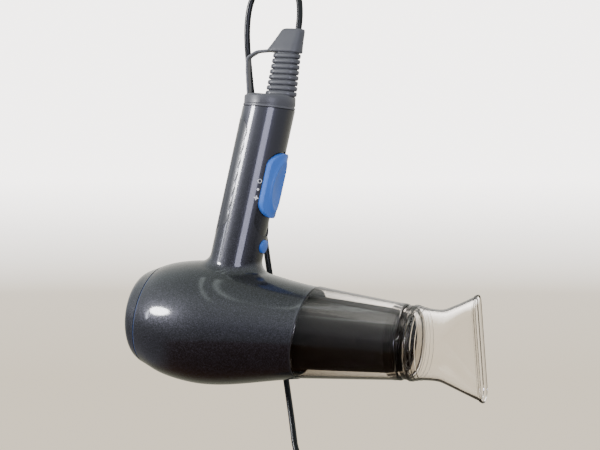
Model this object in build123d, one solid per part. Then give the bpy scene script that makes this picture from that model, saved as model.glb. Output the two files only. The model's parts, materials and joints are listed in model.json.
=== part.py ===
"""Full-size hair dryer with a fixed grip and a fishtail nozzle, hanging by its loop.

Units are millimetres.  The origin is where a hook bears in the loop, +Z is up,
+X is level and points the way the air leaves, and +Y is across the dryer.
The barrel and the grip are each built about their own axis, in a frame whose x runs
forward and whose z runs up, and are then placed in the hanging pose.
"""
import os
from math import pi, radians, sin, tan

from build123d import *

# Hanging pose: the barrel's axis meets the grip's axis at the junction.
JUNCTION = (-29.0, 0.0, -192.9)
BARREL_DROOP = 3.5      # degrees that the barrel's outlet end hangs down
GRIP_LEAN = 13.5        # degrees that the grip leans forward of upright
CAP_SLANT = 7.0         # degrees that the grip's end face is cut back

# Barrel, along its axis from the junction.
REAR_END = -64.0
REAR_SEAM = -52.0
REAR_SLANT = 6.5        # degrees that the rear seam's top leans forward
FRONT_SEAM = 67.5
FRONT_SLANT = 8.5
LIP = 138.0             # front edge of the clear sleeve
REAR_FACE_RADIUS = 27.0
SEAM_RADIUS = 32.6
LIP_RADIUS = 25.7
BODY_CURVE = [(-61.5, 31.6), (-54, 35.6), (-44, 39.6), (-30, 42.9), (-10, 44.5), (16, 41.8), (42, 36.8)]
WALL = 2.2
SEAM_GAP = 0.5

# Grip, along its axis up from the junction.
GRIP_RADIUS = 18.5
GRIP_TOP = 157.5
GRIP_ROOT_FILLET = 9.0
GRIP_BORE = GRIP_RADIUS - WALL
CAP_HEIGHT = 8.5

# Slide switch on the front of the grip.
KNOB_BOTTOM = 82.5
KNOB_TOP = 129.0
KNOB_HALF_ANGLE = 44.0
KNOB_RADIUS = 20.8
KNOB_TRAVEL = 12.5
SKIN_GAP = 0.35         # clearance between moving skins

# Cool-shot button below the slide.
BUTTON_HEIGHT = 61.5
BUTTON_RADIUS = 4.8

# Air path.
SLEEVE_WALL = 2.0
TUBE_REAR_RADIUS = 26.6
TUBE_FRONT_RADIUS = 21.6
TUBE_REAR = 58.0
TUBE_FRONT = 128.0
TUBE_WALL = 1.6
GRILLE_RADIUS = 19.6
GRILLE_THICKNESS = 2.6

# Motor and fan.
DUCT_RADIUS = 33.0
DUCT_REAR = -44.0
DUCT_FRONT = 12.0
MOTOR_RADIUS = 15.5
MOTOR_REAR = -24.0
MOTOR_FRONT = 16.0
SHAFT_RADIUS = 1.6
FAN_RADIUS = 31.0
FAN_REAR = -41.0
FAN_FRONT = -28.0
BLADES = 9
VANES = 7

# Heater.
HEATER_REAR = 24.0
HEATER_FRONT = 92.0
MICA = 0.6

# Nozzle.
NOZZLE_REAR = 143.0
NOZZLE_NECK = 163.0
NOZZLE_MOUTH = 190.0
NOZZLE_RADIUS = 26.0
NECK_RADIUS = 24.3
MOUTH_LENGTH = 77.0
MOUTH_WIDTH = 12.5
NOZZLE_WALL = 1.6
NOZZLE_ROLL = 20.0      # degrees that the mouth is turned about the barrel
SPIGOT_LENGTH = 9.0
RUNNING_FIT = 0.06

# Cord and plug.
CORD = 4.6
CORD_EXIT = (30.4, 0.0, 15.4)
COIL_RADIUS = 25.7      # to the middle of the turns
COIL_DEPTH = 13.6       # of the bundle, outward
COIL_WIDTH = 19.4       # of the bundle, across
COIL_CORNER = 4.5
PIN_RADIUS = 2.4
PIN_LENGTH = 19.0
PIN_SPACING = 19.0
CORD_ROUTE = [
    CORD_EXIT,
    (31.4, 0.4, 26.8),
    (29.8, 1.6, 39.2),
    (22.2, 3.4, 49.7),
    (9.9, 5.2, 53.7),
    (-2.4, 6.8, 49.7),
    (-10.1, 8.2, 39.2),
    (-13.4, 9.2, 24.5),
    (-14.2, 10.8, 7.0),
    (-13.0, 16.0, -27.0),
    (-11.5, 26.0, -70.0),
    (-11.0, 36.5, -114.0),
    (-10.8, 44.5, -156.0),
    (-6.0, 49.8, -198.0),
    (2.5, 45.0, -240.0),
    (12.0, 34.0, -270.0),
    (18.5, 28.0, -301.0),
]
TAIL_LENGTH = 24.0

# Grip panel on the back.
PANEL_EDGE = -6.3       # its front edge, behind the grip's axis
PANEL_DEPTH = 0.9
PANEL_BOTTOM = 66.0
PANEL_TOP = 146.0
SCALLOPS = 7
SCALLOP_BOTTOM = 77.6
SCALLOP_TOP = 138.0
SCALLOP_DEPTH = 1.8
SCALLOP_RADIUS = 8.0

# Switch pocket and what is behind it.
POCKET_DEPTH = 1.3
TRACK_BACK = 14.9
DISH_RADIUS = 60.0
DISH_DEPTH = 1.3
SWITCH_FACE = 9.0

# Screws and their posts, as (along, height) in the barrel's or the grip's frame.
POST_RADIUS = 3.4
SCREW_RADIUS = 1.1
SCREW_HEAD = 2.2
SCREW_LENGTH = 16.0
BARREL_POSTS = ((-28, 37.2), (-28, -37.2), (30, 33.0), (50, -28.8))
GRIP_POSTS = ((-11.4, 70.0), (-11.4, 136.0))
BARREL_HEAD = 11.0
GRIP_HEAD = 8.5

# Rear cover.
INTAKE_RINGS = (7.0, 11.5, 16.0, 20.5)
FILTER_RADIUS = 25.5

# Strain relief, its long way along x.
RELIEF_SHIFT = 8.0
RELIEF_LEAN = 3.0
RELIEF_LENGTH = (22.9, 20.2)
RELIEF_WIDTH = (14.0, 12.0)
RIBS = 8
RIB_PITCH = 3.75
RIB_TOP = 31.5
RELIEF_TOP = 47.5

# Hanging loop.
LOOP_WIDTH = 8.0
LOOP_THICKNESS = 1.8
LOOP_PATH = [(-7.2, 0, -38.0), (-8.6, 0, -12.0), (-8.4, 0, -3.0), (-1.0, 0, 0.9), (9.5, 0, 1.2)]
LOOP_BENDS = [12.0, 4.5, 8.0]

# More of the air path.
FLANGE_RADIUS = 31.0
SWIVEL_RADIUS = 22.4
NECK_WIDTH = 38.0
CROSS_RADIUS = 20.0
MICA_RADIUS = 22.3
HEATER_TURNS = 12

# More of the plug.
PLUG_RADIUS = 18.0
PLUG_HEIGHT = 30.0
PLUG_RELIEF = 16.0
TIE_ANGLE = 30.0

BARREL = Location(JUNCTION, (0, BARREL_DROOP, 0))
GRIP = Location(JUNCTION, (0, GRIP_LEAN, 0))
CAP = GRIP * Location((0, 0, GRIP_TOP), (0, -CAP_SLANT, 0))
RELIEF = CAP * Location((RELIEF_SHIFT, 0, CAP_HEIGHT), (0, RELIEF_LEAN, 0))
FAR = 200.0             # reach of the cutting blocks


def save(name, *shapes):
    """Write one sub-part, made of one or more solids."""
    solids = [solid for shape in shapes for solid in shape.solids()]
    part = solids[0] if len(solids) == 1 else Compound(children=solids)
    part.label = name
    export_step(part, f"parts/{name}.step")


def lathe(points):
    """Turn a closed outline of (along, out) points about the local x axis."""
    outline = Polyline(*[(along, 0, out) for along, out in points], close=True)
    return revolve(make_face(outline), axis=Axis.X)


def tube(start, end, outer, inner):
    """A plain tube along the local x axis."""
    return lathe([(start, inner), (end, inner), (end, outer), (start, outer)])


def post(start, end, radius, at=(0, 0)):
    """A round bar along the local z axis."""
    return Pos(at[0], at[1], (start + end) / 2) * Cylinder(radius, end - start)


def block(low, high):
    """A box between two corners."""
    size = [b - a for a, b in zip(low, high)]
    middle = [(a + b) / 2 for a, b in zip(low, high)]
    return Pos(*middle) * Box(*size)


def barrel_core(inset=0.0):
    """The barrel's outer form from the rear face to the lip, moved in by inset."""
    rear = (REAR_END + inset, 0, REAR_FACE_RADIUS - inset)
    seam = (FRONT_SEAM, 0, SEAM_RADIUS - inset)
    lip = (LIP, 0, LIP_RADIUS - inset)
    middle = [(along, 0, out - inset) for along, out in BODY_CURVE]
    skin = Spline(rear, *middle, seam)
    outline = Curve() + [
        Line((rear[0], 0, 0), rear),
        skin,
        Line(seam, lip),
        Line(lip, (LIP, 0, 0)),
        Line((LIP, 0, 0), (rear[0], 0, 0)),
    ]
    return revolve(make_face(outline), axis=Axis.X)


def slice_between(start, start_slant, end, end_slant):
    """A block across the barrel between two planes that lean forward at the top."""
    corners = []
    for along, slant, side in ((start, start_slant, -1), (start, start_slant, 1),
                               (end, end_slant, 1), (end, end_slant, -1)):
        corners.append((along + side * FAR * tan(radians(slant)), 0, side * FAR))
    face = make_face(Polyline(*corners, close=True))
    return extrude(face, FAR, dir=(0, 1, 0), both=True)


GRIP_IN_BARREL = BARREL.inverse() * GRIP
BODY_SLICE = slice_between(REAR_SEAM + SEAM_GAP, REAR_SLANT, FRONT_SEAM - SEAM_GAP, FRONT_SLANT)


def in_grip(shape):
    """Move a shape from the grip's frame to the barrel's."""
    return GRIP_IN_BARREL * shape


def knob_outline(width, bottom, top):
    """A rounded rectangle on the front of the grip, pushed through it."""
    face = RectangleRounded(width, top - bottom, 0.43 * width)
    return Plane((0, 0, (bottom + top) / 2), x_dir=(0, 1, 0), z_dir=(1, 0, 0)) * extrude(face, 40)


def grip_shell(outer, inner):
    """A round shell up the grip."""
    return post(0, GRIP_TOP, outer) - post(-1, GRIP_TOP + 1, inner)


KNOB_WIDTH = 2 * GRIP_RADIUS * sin(radians(KNOB_HALF_ANGLE))
KNOB_MIDDLE = (KNOB_BOTTOM + KNOB_TOP) / 2


def panel_outline():
    """The grip panel's side view: a back strip with a scalloped front edge and pointed ends."""
    back = -GRIP_RADIUS - 5
    face = make_face(Polyline(
        (back, 0, PANEL_BOTTOM - 6), (-GRIP_RADIUS, 0, PANEL_BOTTOM - 4), (PANEL_EDGE, 0, SCALLOP_BOTTOM),
        (PANEL_EDGE, 0, SCALLOP_TOP), (-GRIP_RADIUS, 0, PANEL_TOP + 2), (back, 0, PANEL_TOP + 4), close=True))
    strip = extrude(face, 30, dir=(0, 1, 0), both=True)
    for step in range(SCALLOPS):
        height = SCALLOP_BOTTOM + step * (SCALLOP_TOP - SCALLOP_BOTTOM) / (SCALLOPS - 1)
        centre = PANEL_EDGE + SCALLOP_DEPTH - SCALLOP_RADIUS
        strip += Pos(centre, 0, height) * Rot(90, 0, 0) * Cylinder(SCALLOP_RADIUS, 60)
    return strip


def grip_panel():
    """A soft strip let into the back of the grip."""
    shell = grip_shell(GRIP_RADIUS + 0.15, GRIP_RADIUS - PANEL_DEPTH)
    return GRIP * (shell & panel_outline())


def cross_post(along, height, radius, length=120.0):
    """A round bar across the dryer."""
    return Pos(along, 0, height) * Rot(90, 0, 0) * Cylinder(radius, length)


def far_bar(along, height, radius, near, far):
    """A round bar across the dryer between two distances from its middle."""
    return Pos(along, (near + far) / 2, height) * Rot(90, 0, 0) * Cylinder(radius, far - near)


def housing():
    """The two-piece shell before it is split: barrel and grip with a smooth root."""
    joined = Rot(180, 0, 0) * barrel_core() + in_grip(Rot(0, 0, 90) * post(0, GRIP_TOP + 30, GRIP_RADIUS))
    root = joined.edges().filter_by(GeomType.BSPLINE).sort_by(Axis.Z)[-1]
    outer = joined.fillet(GRIP_ROOT_FILLET, [root])
    grip_end = Location((0, 0, GRIP_TOP), (0, -CAP_SLANT, 0))
    below_cap = in_grip(grip_end * Pos(0, 0, -FAR) * Box(FAR, FAR, 2 * FAR))
    outer = outer & below_cap & BODY_SLICE
    cavity = Rot(180, 0, 0) * barrel_core(WALL) + in_grip(Rot(0, 0, 90) * post(0, GRIP_TOP + 30, GRIP_BORE))
    posts = [cross_post(along, height, POST_RADIUS) for along, height in BARREL_POSTS]
    posts += [in_grip(cross_post(along, height, POST_RADIUS)) for along, height in GRIP_POSTS]
    for bar in posts:
        cavity -= bar
    shell = outer - cavity
    shell -= in_grip(knob_outline(KNOB_WIDTH + 2 * SKIN_GAP, KNOB_BOTTOM - KNOB_TRAVEL - 1.2, KNOB_TOP + 1.2))
    shell -= in_grip(Pos(0, 0, BUTTON_HEIGHT) * Rot(0, 90, 0) * post(5, 40, BUTTON_RADIUS + SKIN_GAP))
    shell -= in_grip(grip_shell(GRIP_RADIUS + 3, GRIP_RADIUS - PANEL_DEPTH) & panel_outline())
    for along, height in BARREL_POSTS:
        shell -= screw_room(along, height, BARREL_HEAD)
    for along, height in GRIP_POSTS:
        shell -= in_grip(screw_room(along, height, GRIP_HEAD))
    return shell


def screw_room(along, height, head):
    """The hole that a housing screw and its head need."""
    hole = far_bar(along, height, SCREW_RADIUS, head - SCREW_LENGTH, head)
    return hole + far_bar(along, height, SCREW_HEAD + 0.3, head, head + 40)


def screw(along, height, head):
    """A pan-head screw with a cross recess, its head toward the far side."""
    shank = far_bar(along, height, SCREW_RADIUS, head - SCREW_LENGTH, head)
    cap = far_bar(along, height, SCREW_HEAD, head, head + 1.7)
    recess = Pos(along, head + 1.5, height) * (Box(3.0, 1.4, 0.8) + Box(0.8, 1.4, 3.0))
    return shank + cap - recess


def housing_screws():
    """The screws that hold the two shells together, heads in the far shell."""
    barrel = [BARREL * screw(along, height, BARREL_HEAD) for along, height in BARREL_POSTS]
    return barrel + [GRIP * screw(along, height, GRIP_HEAD) for along, height in GRIP_POSTS]


def rear_cover():
    """A cup with ring slots between spokes in its rear face."""
    cup = (barrel_core() - barrel_core(WALL)) & slice_between(-FAR, 0, REAR_SEAM - 0.9, REAR_SLANT)
    slots = [tube(REAR_END - 1, REAR_END + WALL + 1, radius + 1.2, radius - 1.2) for radius in INTAKE_RINGS]
    spokes = [Rot(turn, 0, 0) * Pos(REAR_END, 0, 15) * Box(20, 1.6, 34) for turn in range(0, 360, 45)]
    for slot in slots:
        for spoke in spokes:
            slot -= spoke
        cup -= slot
    return BARREL * cup


def slanted_ring(middle, slant, width, outer_inset, inner_inset):
    """A thin ring in a slanted seam."""
    ring = barrel_core(outer_inset) - barrel_core(inner_inset)
    return BARREL * (ring & slice_between(middle - width / 2, slant, middle + width / 2, slant))


def intake_filter():
    """A pleatless mesh disc behind the cover's slots, in a thin rim."""
    face = tube(REAR_END + WALL + 0.6, REAR_END + WALL + 1.2, FILTER_RADIUS, 0.01)
    rim = tube(REAR_END + WALL + 0.6, REAR_END + WALL + 2.4, FILTER_RADIUS, FILTER_RADIUS - 1.5)
    return BARREL * (face + rim)


def tube_radius(along):
    """The inner tube's outside radius."""
    share = (along - TUBE_REAR) / (TUBE_FRONT - TUBE_REAR)
    return TUBE_REAR_RADIUS + share * (TUBE_FRONT_RADIUS - TUBE_REAR_RADIUS)


def front_tube():
    """The dark tube that carries the hot air, with a flange inside the housing."""
    flange = 2.0
    return BARREL * lathe([
        (TUBE_REAR, TUBE_REAR_RADIUS - TUBE_WALL), (TUBE_FRONT, TUBE_FRONT_RADIUS - TUBE_WALL),
        (TUBE_FRONT, TUBE_FRONT_RADIUS), (TUBE_REAR + flange, tube_radius(TUBE_REAR + flange)),
        (TUBE_REAR + flange, FLANGE_RADIUS), (TUBE_REAR, FLANGE_RADIUS)])


def clear_sleeve():
    """The clear outer sleeve from the body to the lip."""
    skin = barrel_core() - barrel_core(SLEEVE_WALL)
    return BARREL * (skin & slice_between(FRONT_SEAM + SEAM_GAP, FRONT_SLANT, LIP, 0))


def outlet_grille():
    """Rings and spokes across the inner tube's mouth."""
    rear = TUBE_FRONT - GRILLE_THICKNESS - 0.6
    front = TUBE_FRONT - 0.6
    shape = tube(rear, front, GRILLE_RADIUS, GRILLE_RADIUS - 1.4)
    for radius in (5.0, 10.0, 15.0):
        shape += tube(rear, front, radius + 0.6, radius - 0.6)
    for turn in range(0, 180, 30):
        spoke = Box(front - rear, 1.1, 2 * GRILLE_RADIUS - 1)
        shape += Rot(turn, 0, 0) * Pos((rear + front) / 2, 0, 0) * spoke
    return BARREL * shape


def nozzle_ring():
    """The ring that grips inside the sleeve and that the nozzle turns on."""
    bore = SWIVEL_RADIUS + RUNNING_FIT
    spigot = LIP_RADIUS - SLEEVE_WALL - RUNNING_FIT
    return BARREL * lathe([
        (LIP - SPIGOT_LENGTH, bore), (NOZZLE_REAR - 0.4, bore), (NOZZLE_REAR - 0.4, LIP_RADIUS - 0.5),
        (LIP + 0.4, LIP_RADIUS - 0.5), (LIP + 0.4, spigot), (LIP - SPIGOT_LENGTH, spigot)])


def nozzle_section(along, length, width, inset):
    """One cross-section of the nozzle, turned part of the way with the mouth."""
    face = RectangleRounded(width - 2 * inset, length - 2 * inset, width / 2 - inset - 0.05)
    return Location((along, 0, 0), (NOZZLE_ROLL, 0, 0)) * (Plane.YZ * face)


def nozzle_form(inset):
    """The nozzle as a solid, moved in by inset."""
    sections = [
        nozzle_section(NOZZLE_REAR, 2 * NOZZLE_RADIUS, 2 * NOZZLE_RADIUS, inset),
        nozzle_section(NOZZLE_NECK, 2 * NECK_RADIUS, NECK_WIDTH, inset),
        nozzle_section(NOZZLE_MOUTH, MOUTH_LENGTH, MOUTH_WIDTH, inset),
    ]
    return loft(sections[:2], ruled=True) + loft(sections[1:], ruled=True)


def nozzle():
    """A round collar that flattens and spreads to a long narrow mouth."""
    swivel = tube(LIP + 0.8, NOZZLE_REAR + 1.5, SWIVEL_RADIUS, SWIVEL_RADIUS - 1.4)
    rim = tube(NOZZLE_REAR, NOZZLE_REAR + 1.5, NOZZLE_RADIUS, SWIVEL_RADIUS - 1.4)
    beak = nozzle_form(0) - nozzle_form(NOZZLE_WALL)
    return BARREL * (beak + swivel + rim)


def slide_knob():
    """The blue slider, dished for a fingertip."""
    plate = grip_shell(KNOB_RADIUS, GRIP_RADIUS - POCKET_DEPTH + SKIN_GAP)
    plate = plate & knob_outline(KNOB_WIDTH, KNOB_BOTTOM, KNOB_TOP)
    dish = Pos(KNOB_RADIUS + DISH_RADIUS - DISH_DEPTH, 0, KNOB_MIDDLE) * Sphere(DISH_RADIUS)
    return GRIP * (plate - dish)


def slide_carrier():
    """The stem behind the slider and the plate that works the switch."""
    back = GRIP_RADIUS - POCKET_DEPTH + SKIN_GAP
    stem = block((SWITCH_FACE + 3.6, -2.6, KNOB_MIDDLE - 4), (back, 2.6, KNOB_MIDDLE + 4))
    plate = block((SWITCH_FACE + 0.6, -4.5, KNOB_MIDDLE - 8), (SWITCH_FACE + 3.6, 4.5, KNOB_MIDDLE + 8))
    return GRIP * (stem + plate)


def slide_track():
    """The floor of the slider's pocket, with a slot for the stem."""
    low = KNOB_BOTTOM - KNOB_TRAVEL - 1.0
    high = KNOB_TOP + 1.0
    floor = grip_shell(GRIP_RADIUS - POCKET_DEPTH, TRACK_BACK) & knob_outline(KNOB_WIDTH, low, high)
    rim = grip_shell(GRIP_BORE - 0.05, TRACK_BACK) & knob_outline(KNOB_WIDTH + 3, low - 2, high + 2)
    slot = block((0, -3.1, KNOB_MIDDLE - KNOB_TRAVEL - 5), (30, 3.1, KNOB_MIDDLE + 5))
    return GRIP * (floor + rim - slot)


def cool_button():
    """A domed push button with a stop flange inside the grip."""
    stem = Pos(0, 0, BUTTON_HEIGHT) * Rot(0, 90, 0) * post(12.6, 19.6, BUTTON_RADIUS)
    dome_radius = 14.0
    dome = Pos(20.6 - dome_radius, 0, BUTTON_HEIGHT) * Sphere(dome_radius)
    flange = Pos(0, 0, BUTTON_HEIGHT) * Rot(0, 90, 0) * post(11.6, 13.0, BUTTON_RADIUS + 1.2)
    tip = Pos(0, 0, BUTTON_HEIGHT) * Rot(0, 90, 0) * post(12.6, 21.0, BUTTON_RADIUS) & dome
    return GRIP * (stem + tip + flange)


def cool_spring():
    """A short compression spring between the button and its switch."""
    coil = Helix(pitch=1.5, height=4.5, radius=2.6)
    section = Plane(coil @ 0, z_dir=coil % 0) * Circle(0.3)
    wire = sweep(section, path=coil)
    return GRIP * Pos(6.8, 0, BUTTON_HEIGHT) * Rot(0, 90, 0) * wire


def end_cap():
    """The dark cap on the grip's end, open for the strain relief."""
    skirt = post(0.3, CAP_HEIGHT, GRIP_RADIUS - 0.2)
    skirt = skirt.fillet(1.6, [skirt.edges().sort_by(Axis.Z)[-1]])
    hollow = post(-1, CAP_HEIGHT - 2.4, GRIP_RADIUS - 2.6)
    return CAP * (skirt - hollow - post(0, CAP_HEIGHT + 1, 5.2, at=(RELIEF_SHIFT, 0)))


def relief_slice(height, share, thickness):
    """One flat rib of the strain relief, share of the way up its taper."""
    length = RELIEF_LENGTH[0] + share * (RELIEF_LENGTH[1] - RELIEF_LENGTH[0])
    width = RELIEF_WIDTH[0] + share * (RELIEF_WIDTH[1] - RELIEF_WIDTH[0])
    return Pos(0, 0, height) * extrude(RectangleRounded(length, width, width / 2 - 0.1), thickness)


def strain_relief():
    """A ribbed flat boot with a tapering tip, bored for the cord."""
    core = loft([
        Pos(0, 0, -6) * RectangleRounded(9.5, 8, 3.9),
        Pos(0, 0, RIB_TOP) * RectangleRounded(15, 8, 3.9)])
    shape = core + relief_slice(0, 0, 1.8)
    for rib in range(RIBS):
        share = rib / (RIBS - 1)
        shape += relief_slice(2.2 + rib * RIB_PITCH, share, RIB_PITCH * 0.6)
    tip_foot = RectangleRounded(RELIEF_LENGTH[1] + 1, RELIEF_WIDTH[1], RELIEF_WIDTH[1] / 2 - 0.1)
    tip = loft([
        Pos(0, 0, RIB_TOP) * tip_foot,
        Pos(1.2, 0, RELIEF_TOP) * RectangleRounded(15.4, 8.4, 4.1)])
    shape += tip
    exit_point = RELIEF.inverse() * Pos(*CORD_EXIT)
    foot = Vector(0, 0, -8)
    head = Vector(exit_point.position)
    return RELIEF * (shape - bar_between(foot, head + (head - foot) * 0.1, CORD / 2))


def bar_between(start, end, radius):
    """A round bar between two points."""
    line = Line(start, end)
    return sweep(Plane(line @ 0, z_dir=line % 0) * Circle(radius), path=line)


def hanging_loop():
    """A thin strap from the cap over the hook to the strain relief."""
    path = FilletPolyline(*LOOP_PATH, radius=LOOP_BENDS)
    section = Plane(path @ 0, x_dir=(0, 1, 0), z_dir=path % 0) * Rectangle(LOOP_WIDTH, LOOP_THICKNESS)
    return sweep(section, path=path)


def fan_impeller():
    """Angled blades on a hub that is bored for the shaft."""
    middle = (FAN_REAR + FAN_FRONT) / 2
    shape = tube(FAN_REAR, FAN_FRONT, 9.0, SHAFT_RADIUS)
    room = tube(FAN_REAR, FAN_FRONT, FAN_RADIUS, SHAFT_RADIUS + 2)
    for number in range(BLADES):
        blade = Pos(middle, 0, FAN_RADIUS / 2 + 4) * Rot(0, 0, 52) * Box(18, 1.2, FAN_RADIUS - 4)
        shape += Rot(360 * number / BLADES, 0, 0) * (blade & room)
    return BARREL * shape


def fan_duct():
    """The duct round the fan, with vanes that hold the motor's cradle."""
    shape = tube(DUCT_REAR, DUCT_FRONT, DUCT_RADIUS, DUCT_RADIUS - 1.5)
    shape += tube(DUCT_REAR, DUCT_REAR + 2, DUCT_RADIUS + 4.0, DUCT_RADIUS - 1.5)
    shape += tube(MOTOR_REAR + 2, DUCT_FRONT, MOTOR_RADIUS + 1.8, MOTOR_RADIUS + 0.05)
    inner = MOTOR_RADIUS + 1.0
    outer = DUCT_RADIUS - 0.8
    for number in range(VANES):
        vane = Pos((MOTOR_REAR + DUCT_FRONT) / 2, 0, (inner + outer) / 2) * Box(28, 1.4, outer - inner)
        shape += Rot(360 * number / VANES, 0, 0) * vane
    return BARREL * shape


def motor_can():
    """The motor with its nose bearing, bored clear of the shaft."""
    body = tube(MOTOR_REAR, MOTOR_FRONT, MOTOR_RADIUS, SHAFT_RADIUS + RUNNING_FIT)
    nose = tube(MOTOR_REAR - 2.5, MOTOR_REAR + 0.5, 5.0, SHAFT_RADIUS + RUNNING_FIT)
    return BARREL * (body + nose)


def motor_shaft():
    """The shaft through the motor and the fan."""
    return BARREL * Rot(0, 90, 0) * post(FAN_REAR - 1.5, MOTOR_FRONT + 1.6, SHAFT_RADIUS)


def motor_end_bell():
    """The plastic end of the motor."""
    return BARREL * tube(MOTOR_FRONT, MOTOR_FRONT + 3.0, 13.0, 2.4)


def rectifier_board():
    """The round board behind the motor."""
    return BARREL * tube(MOTOR_FRONT + 3.2, MOTOR_FRONT + 4.8, 14.0, 0.01)


def rectifier_diodes():
    """Four diodes on the round board."""
    front = MOTOR_FRONT + 4.8
    diode = block((front, -2.6, 6), (front + 2.4, 2.6, 9))
    return [BARREL * Rot(turn, 0, 0) * diode for turn in range(45, 360, 90)]


def heater_cross():
    """Two crossed mica plates that the heating wire is wound on."""
    size = 2 * CROSS_RADIUS
    middle = (HEATER_REAR + HEATER_FRONT) / 2
    length = HEATER_FRONT - HEATER_REAR
    return BARREL * Pos(middle, 0, 0) * (Box(length, 1.0, size) + Box(length, size, 1.0))


def heater_coils():
    """Turns of heating wire round the crossed plates."""
    step = (HEATER_FRONT - HEATER_REAR - 8) / (HEATER_TURNS - 1)
    ring = Rot(0, 90, 0) * Torus(CROSS_RADIUS + 0.7, 0.45)
    return [BARREL * Pos(HEATER_REAR + 4 + number * step, 0, 0) * ring for number in range(HEATER_TURNS)]


def heater_tube():
    """The mica sleeve round the heater."""
    return BARREL * tube(HEATER_REAR, HEATER_FRONT - 4, MICA_RADIUS, MICA_RADIUS - MICA)


def thermostat():
    """The bimetal cut-out on the heater."""
    return BARREL * block((30, -12, -12), (38, -6, -6))


def thermal_fuse():
    """The one-shot fuse on the heater."""
    return BARREL * Pos(0, 8, 8) * Rot(0, 90, 0) * post(40, 52, 1.6)


def ion_module():
    """The potted module that makes ions."""
    return BARREL * block((22, -8, -31), (41, 8, -26.5))


def ion_needle():
    """The emitter in front of the module."""
    return BARREL * Pos(0, 0, -28.7) * Rot(0, 90, 0) * post(41, 45.8, 0.8)


def switch_body():
    """The slide switch."""
    return GRIP * block((-5.5, -7, KNOB_MIDDLE - 18), (SWITCH_FACE, 7, KNOB_MIDDLE + 18))


def switch_terminals():
    """The tabs on the slide switch."""
    tabs = [(-7, height) for height in (92, 104, 116)]
    return [GRIP * block((-5.8, -9.2, height), (-5.0, side, height + 4)) for side, height in tabs]


def cool_switch():
    """The small switch behind the cool-shot button."""
    return GRIP * block((-4.0, -4, BUTTON_HEIGHT - 5), (6.2, 4, BUTTON_HEIGHT + 5))


def circuit_board():
    """The board behind the switches."""
    return GRIP * block((-7.9, -11, 56), (-6.4, 11, 128))


def capacitor():
    """The noise capacitor below the switch."""
    return GRIP * post(69, 84, 4.2, at=(-2.0, 0))


def inner_wires():
    """Leads from the switch to the barrel."""
    places = ((-3.5, 10.2), (0.0, -10.2), (3.5, 10.2))
    return [GRIP * post(36, 88, 1.0, at=place) for place in places]


def cord_clamp():
    """A bar across the grip that grips the cord's end."""
    bar = block((0, -10, 141), (12, 10, 145)) - post(139, 147, CORD / 2, at=(7, 0))
    for side in (-6.5, 6.5):
        bar -= post(139, 147, 1.2, at=(7, side))
    return GRIP * bar


def clamp_screws():
    """The two screws of the cord clamp."""
    screws = []
    for side in (-6.5, 6.5):
        screws.append(GRIP * (post(136, 145, 1.2, at=(7, side)) + post(145, 146.6, 2.4, at=(7, side))))
    return screws


def cord_radii():
    """The radius at each corner of the cord's route."""
    points = [Vector(*point) for point in CORD_ROUTE]
    radii = []
    for before, here, after in zip(points, points[1:], points[2:]):
        turn = (here - before).get_angle(after - here)
        shorter = min((here - before).length, (after - here).length)
        radii.append(0.45 * shorter / tan(radians(turn) / 2))
    return radii


def power_cord():
    """The cord from the strain relief over the hook and down to the coil."""
    radii = cord_radii()
    path = FilletPolyline(*CORD_ROUTE, radius=radii)
    cord = sweep(Plane(path @ 0, z_dir=path % 0) * Circle(CORD / 2), path=path)
    print("cord radii", [round(radius, 1) for radius in radii])
    ratio = cord.volume / (pi * CORD**2 / 4 * path.length)
    print("cord length", round(path.length, 1), "volume ratio", round(ratio, 4))
    return cord


COIL_TOP = CORD_ROUTE[-1]
COIL_CENTRE = (COIL_TOP[0], COIL_TOP[1], COIL_TOP[2] - COIL_RADIUS - COIL_DEPTH / 2)
COIL_BOTTOM = COIL_CENTRE[2] - COIL_RADIUS - COIL_DEPTH / 2


def bundle_outline(margin):
    """The bundle's section, wider all round by margin."""
    return RectangleRounded(COIL_DEPTH + 2 * margin, COIL_WIDTH + 2 * margin, COIL_CORNER + margin)


def cord_coil():
    """The outer form of the wound length: a ring of round-cornered section."""
    section = Pos(COIL_RADIUS, 0, 0) * (Plane.XZ * bundle_outline(0))
    return Pos(*COIL_CENTRE) * Rot(90, 0, 0) * revolve(section, axis=Axis.Z)


def coil_tie():
    """A strap wrapped round one side of the coil, curved with it."""
    band = bundle_outline(1.3) - bundle_outline(0.1)
    section = Pos(COIL_RADIUS, 0, 0) * (Plane.XZ * band)
    around = revolve(section, axis=Axis.Z, revolution_arc=TIE_ANGLE)
    return Pos(*COIL_CENTRE) * Rot(90, 0, 0) * Rot(0, 0, -TIE_ANGLE / 2) * around


def cord_tail():
    """The cord's last stretch, from the coil to the plug."""
    return Pos(COIL_CENTRE[0], COIL_CENTRE[1], COIL_BOTTOM - TAIL_LENGTH) * Cylinder(
        CORD / 2, TAIL_LENGTH, align=(Align.CENTER, Align.CENTER, Align.MIN))


PLUG = Location((COIL_CENTRE[0], COIL_CENTRE[1], COIL_BOTTOM - TAIL_LENGTH))


def plug_relief():
    """The tapered boot on the plug."""
    return PLUG * (Pos(0, 0, -PLUG_RELIEF / 2) * Cone(5.6, 3.4, PLUG_RELIEF))


def plug_body():
    """A round moulded plug body with finger flats."""
    middle = -PLUG_RELIEF - PLUG_HEIGHT / 2
    body = Pos(0, 0, middle) * Cylinder(PLUG_RADIUS, PLUG_HEIGHT)
    body = body.fillet(3.0, [body.edges().sort_by(Axis.Z)[-1]])
    for side in (-1, 1):
        body -= Pos(0, side * (PLUG_RADIUS + 8.0), middle + 4) * Box(60, 26, PLUG_HEIGHT - 14)
    return PLUG * body


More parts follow.
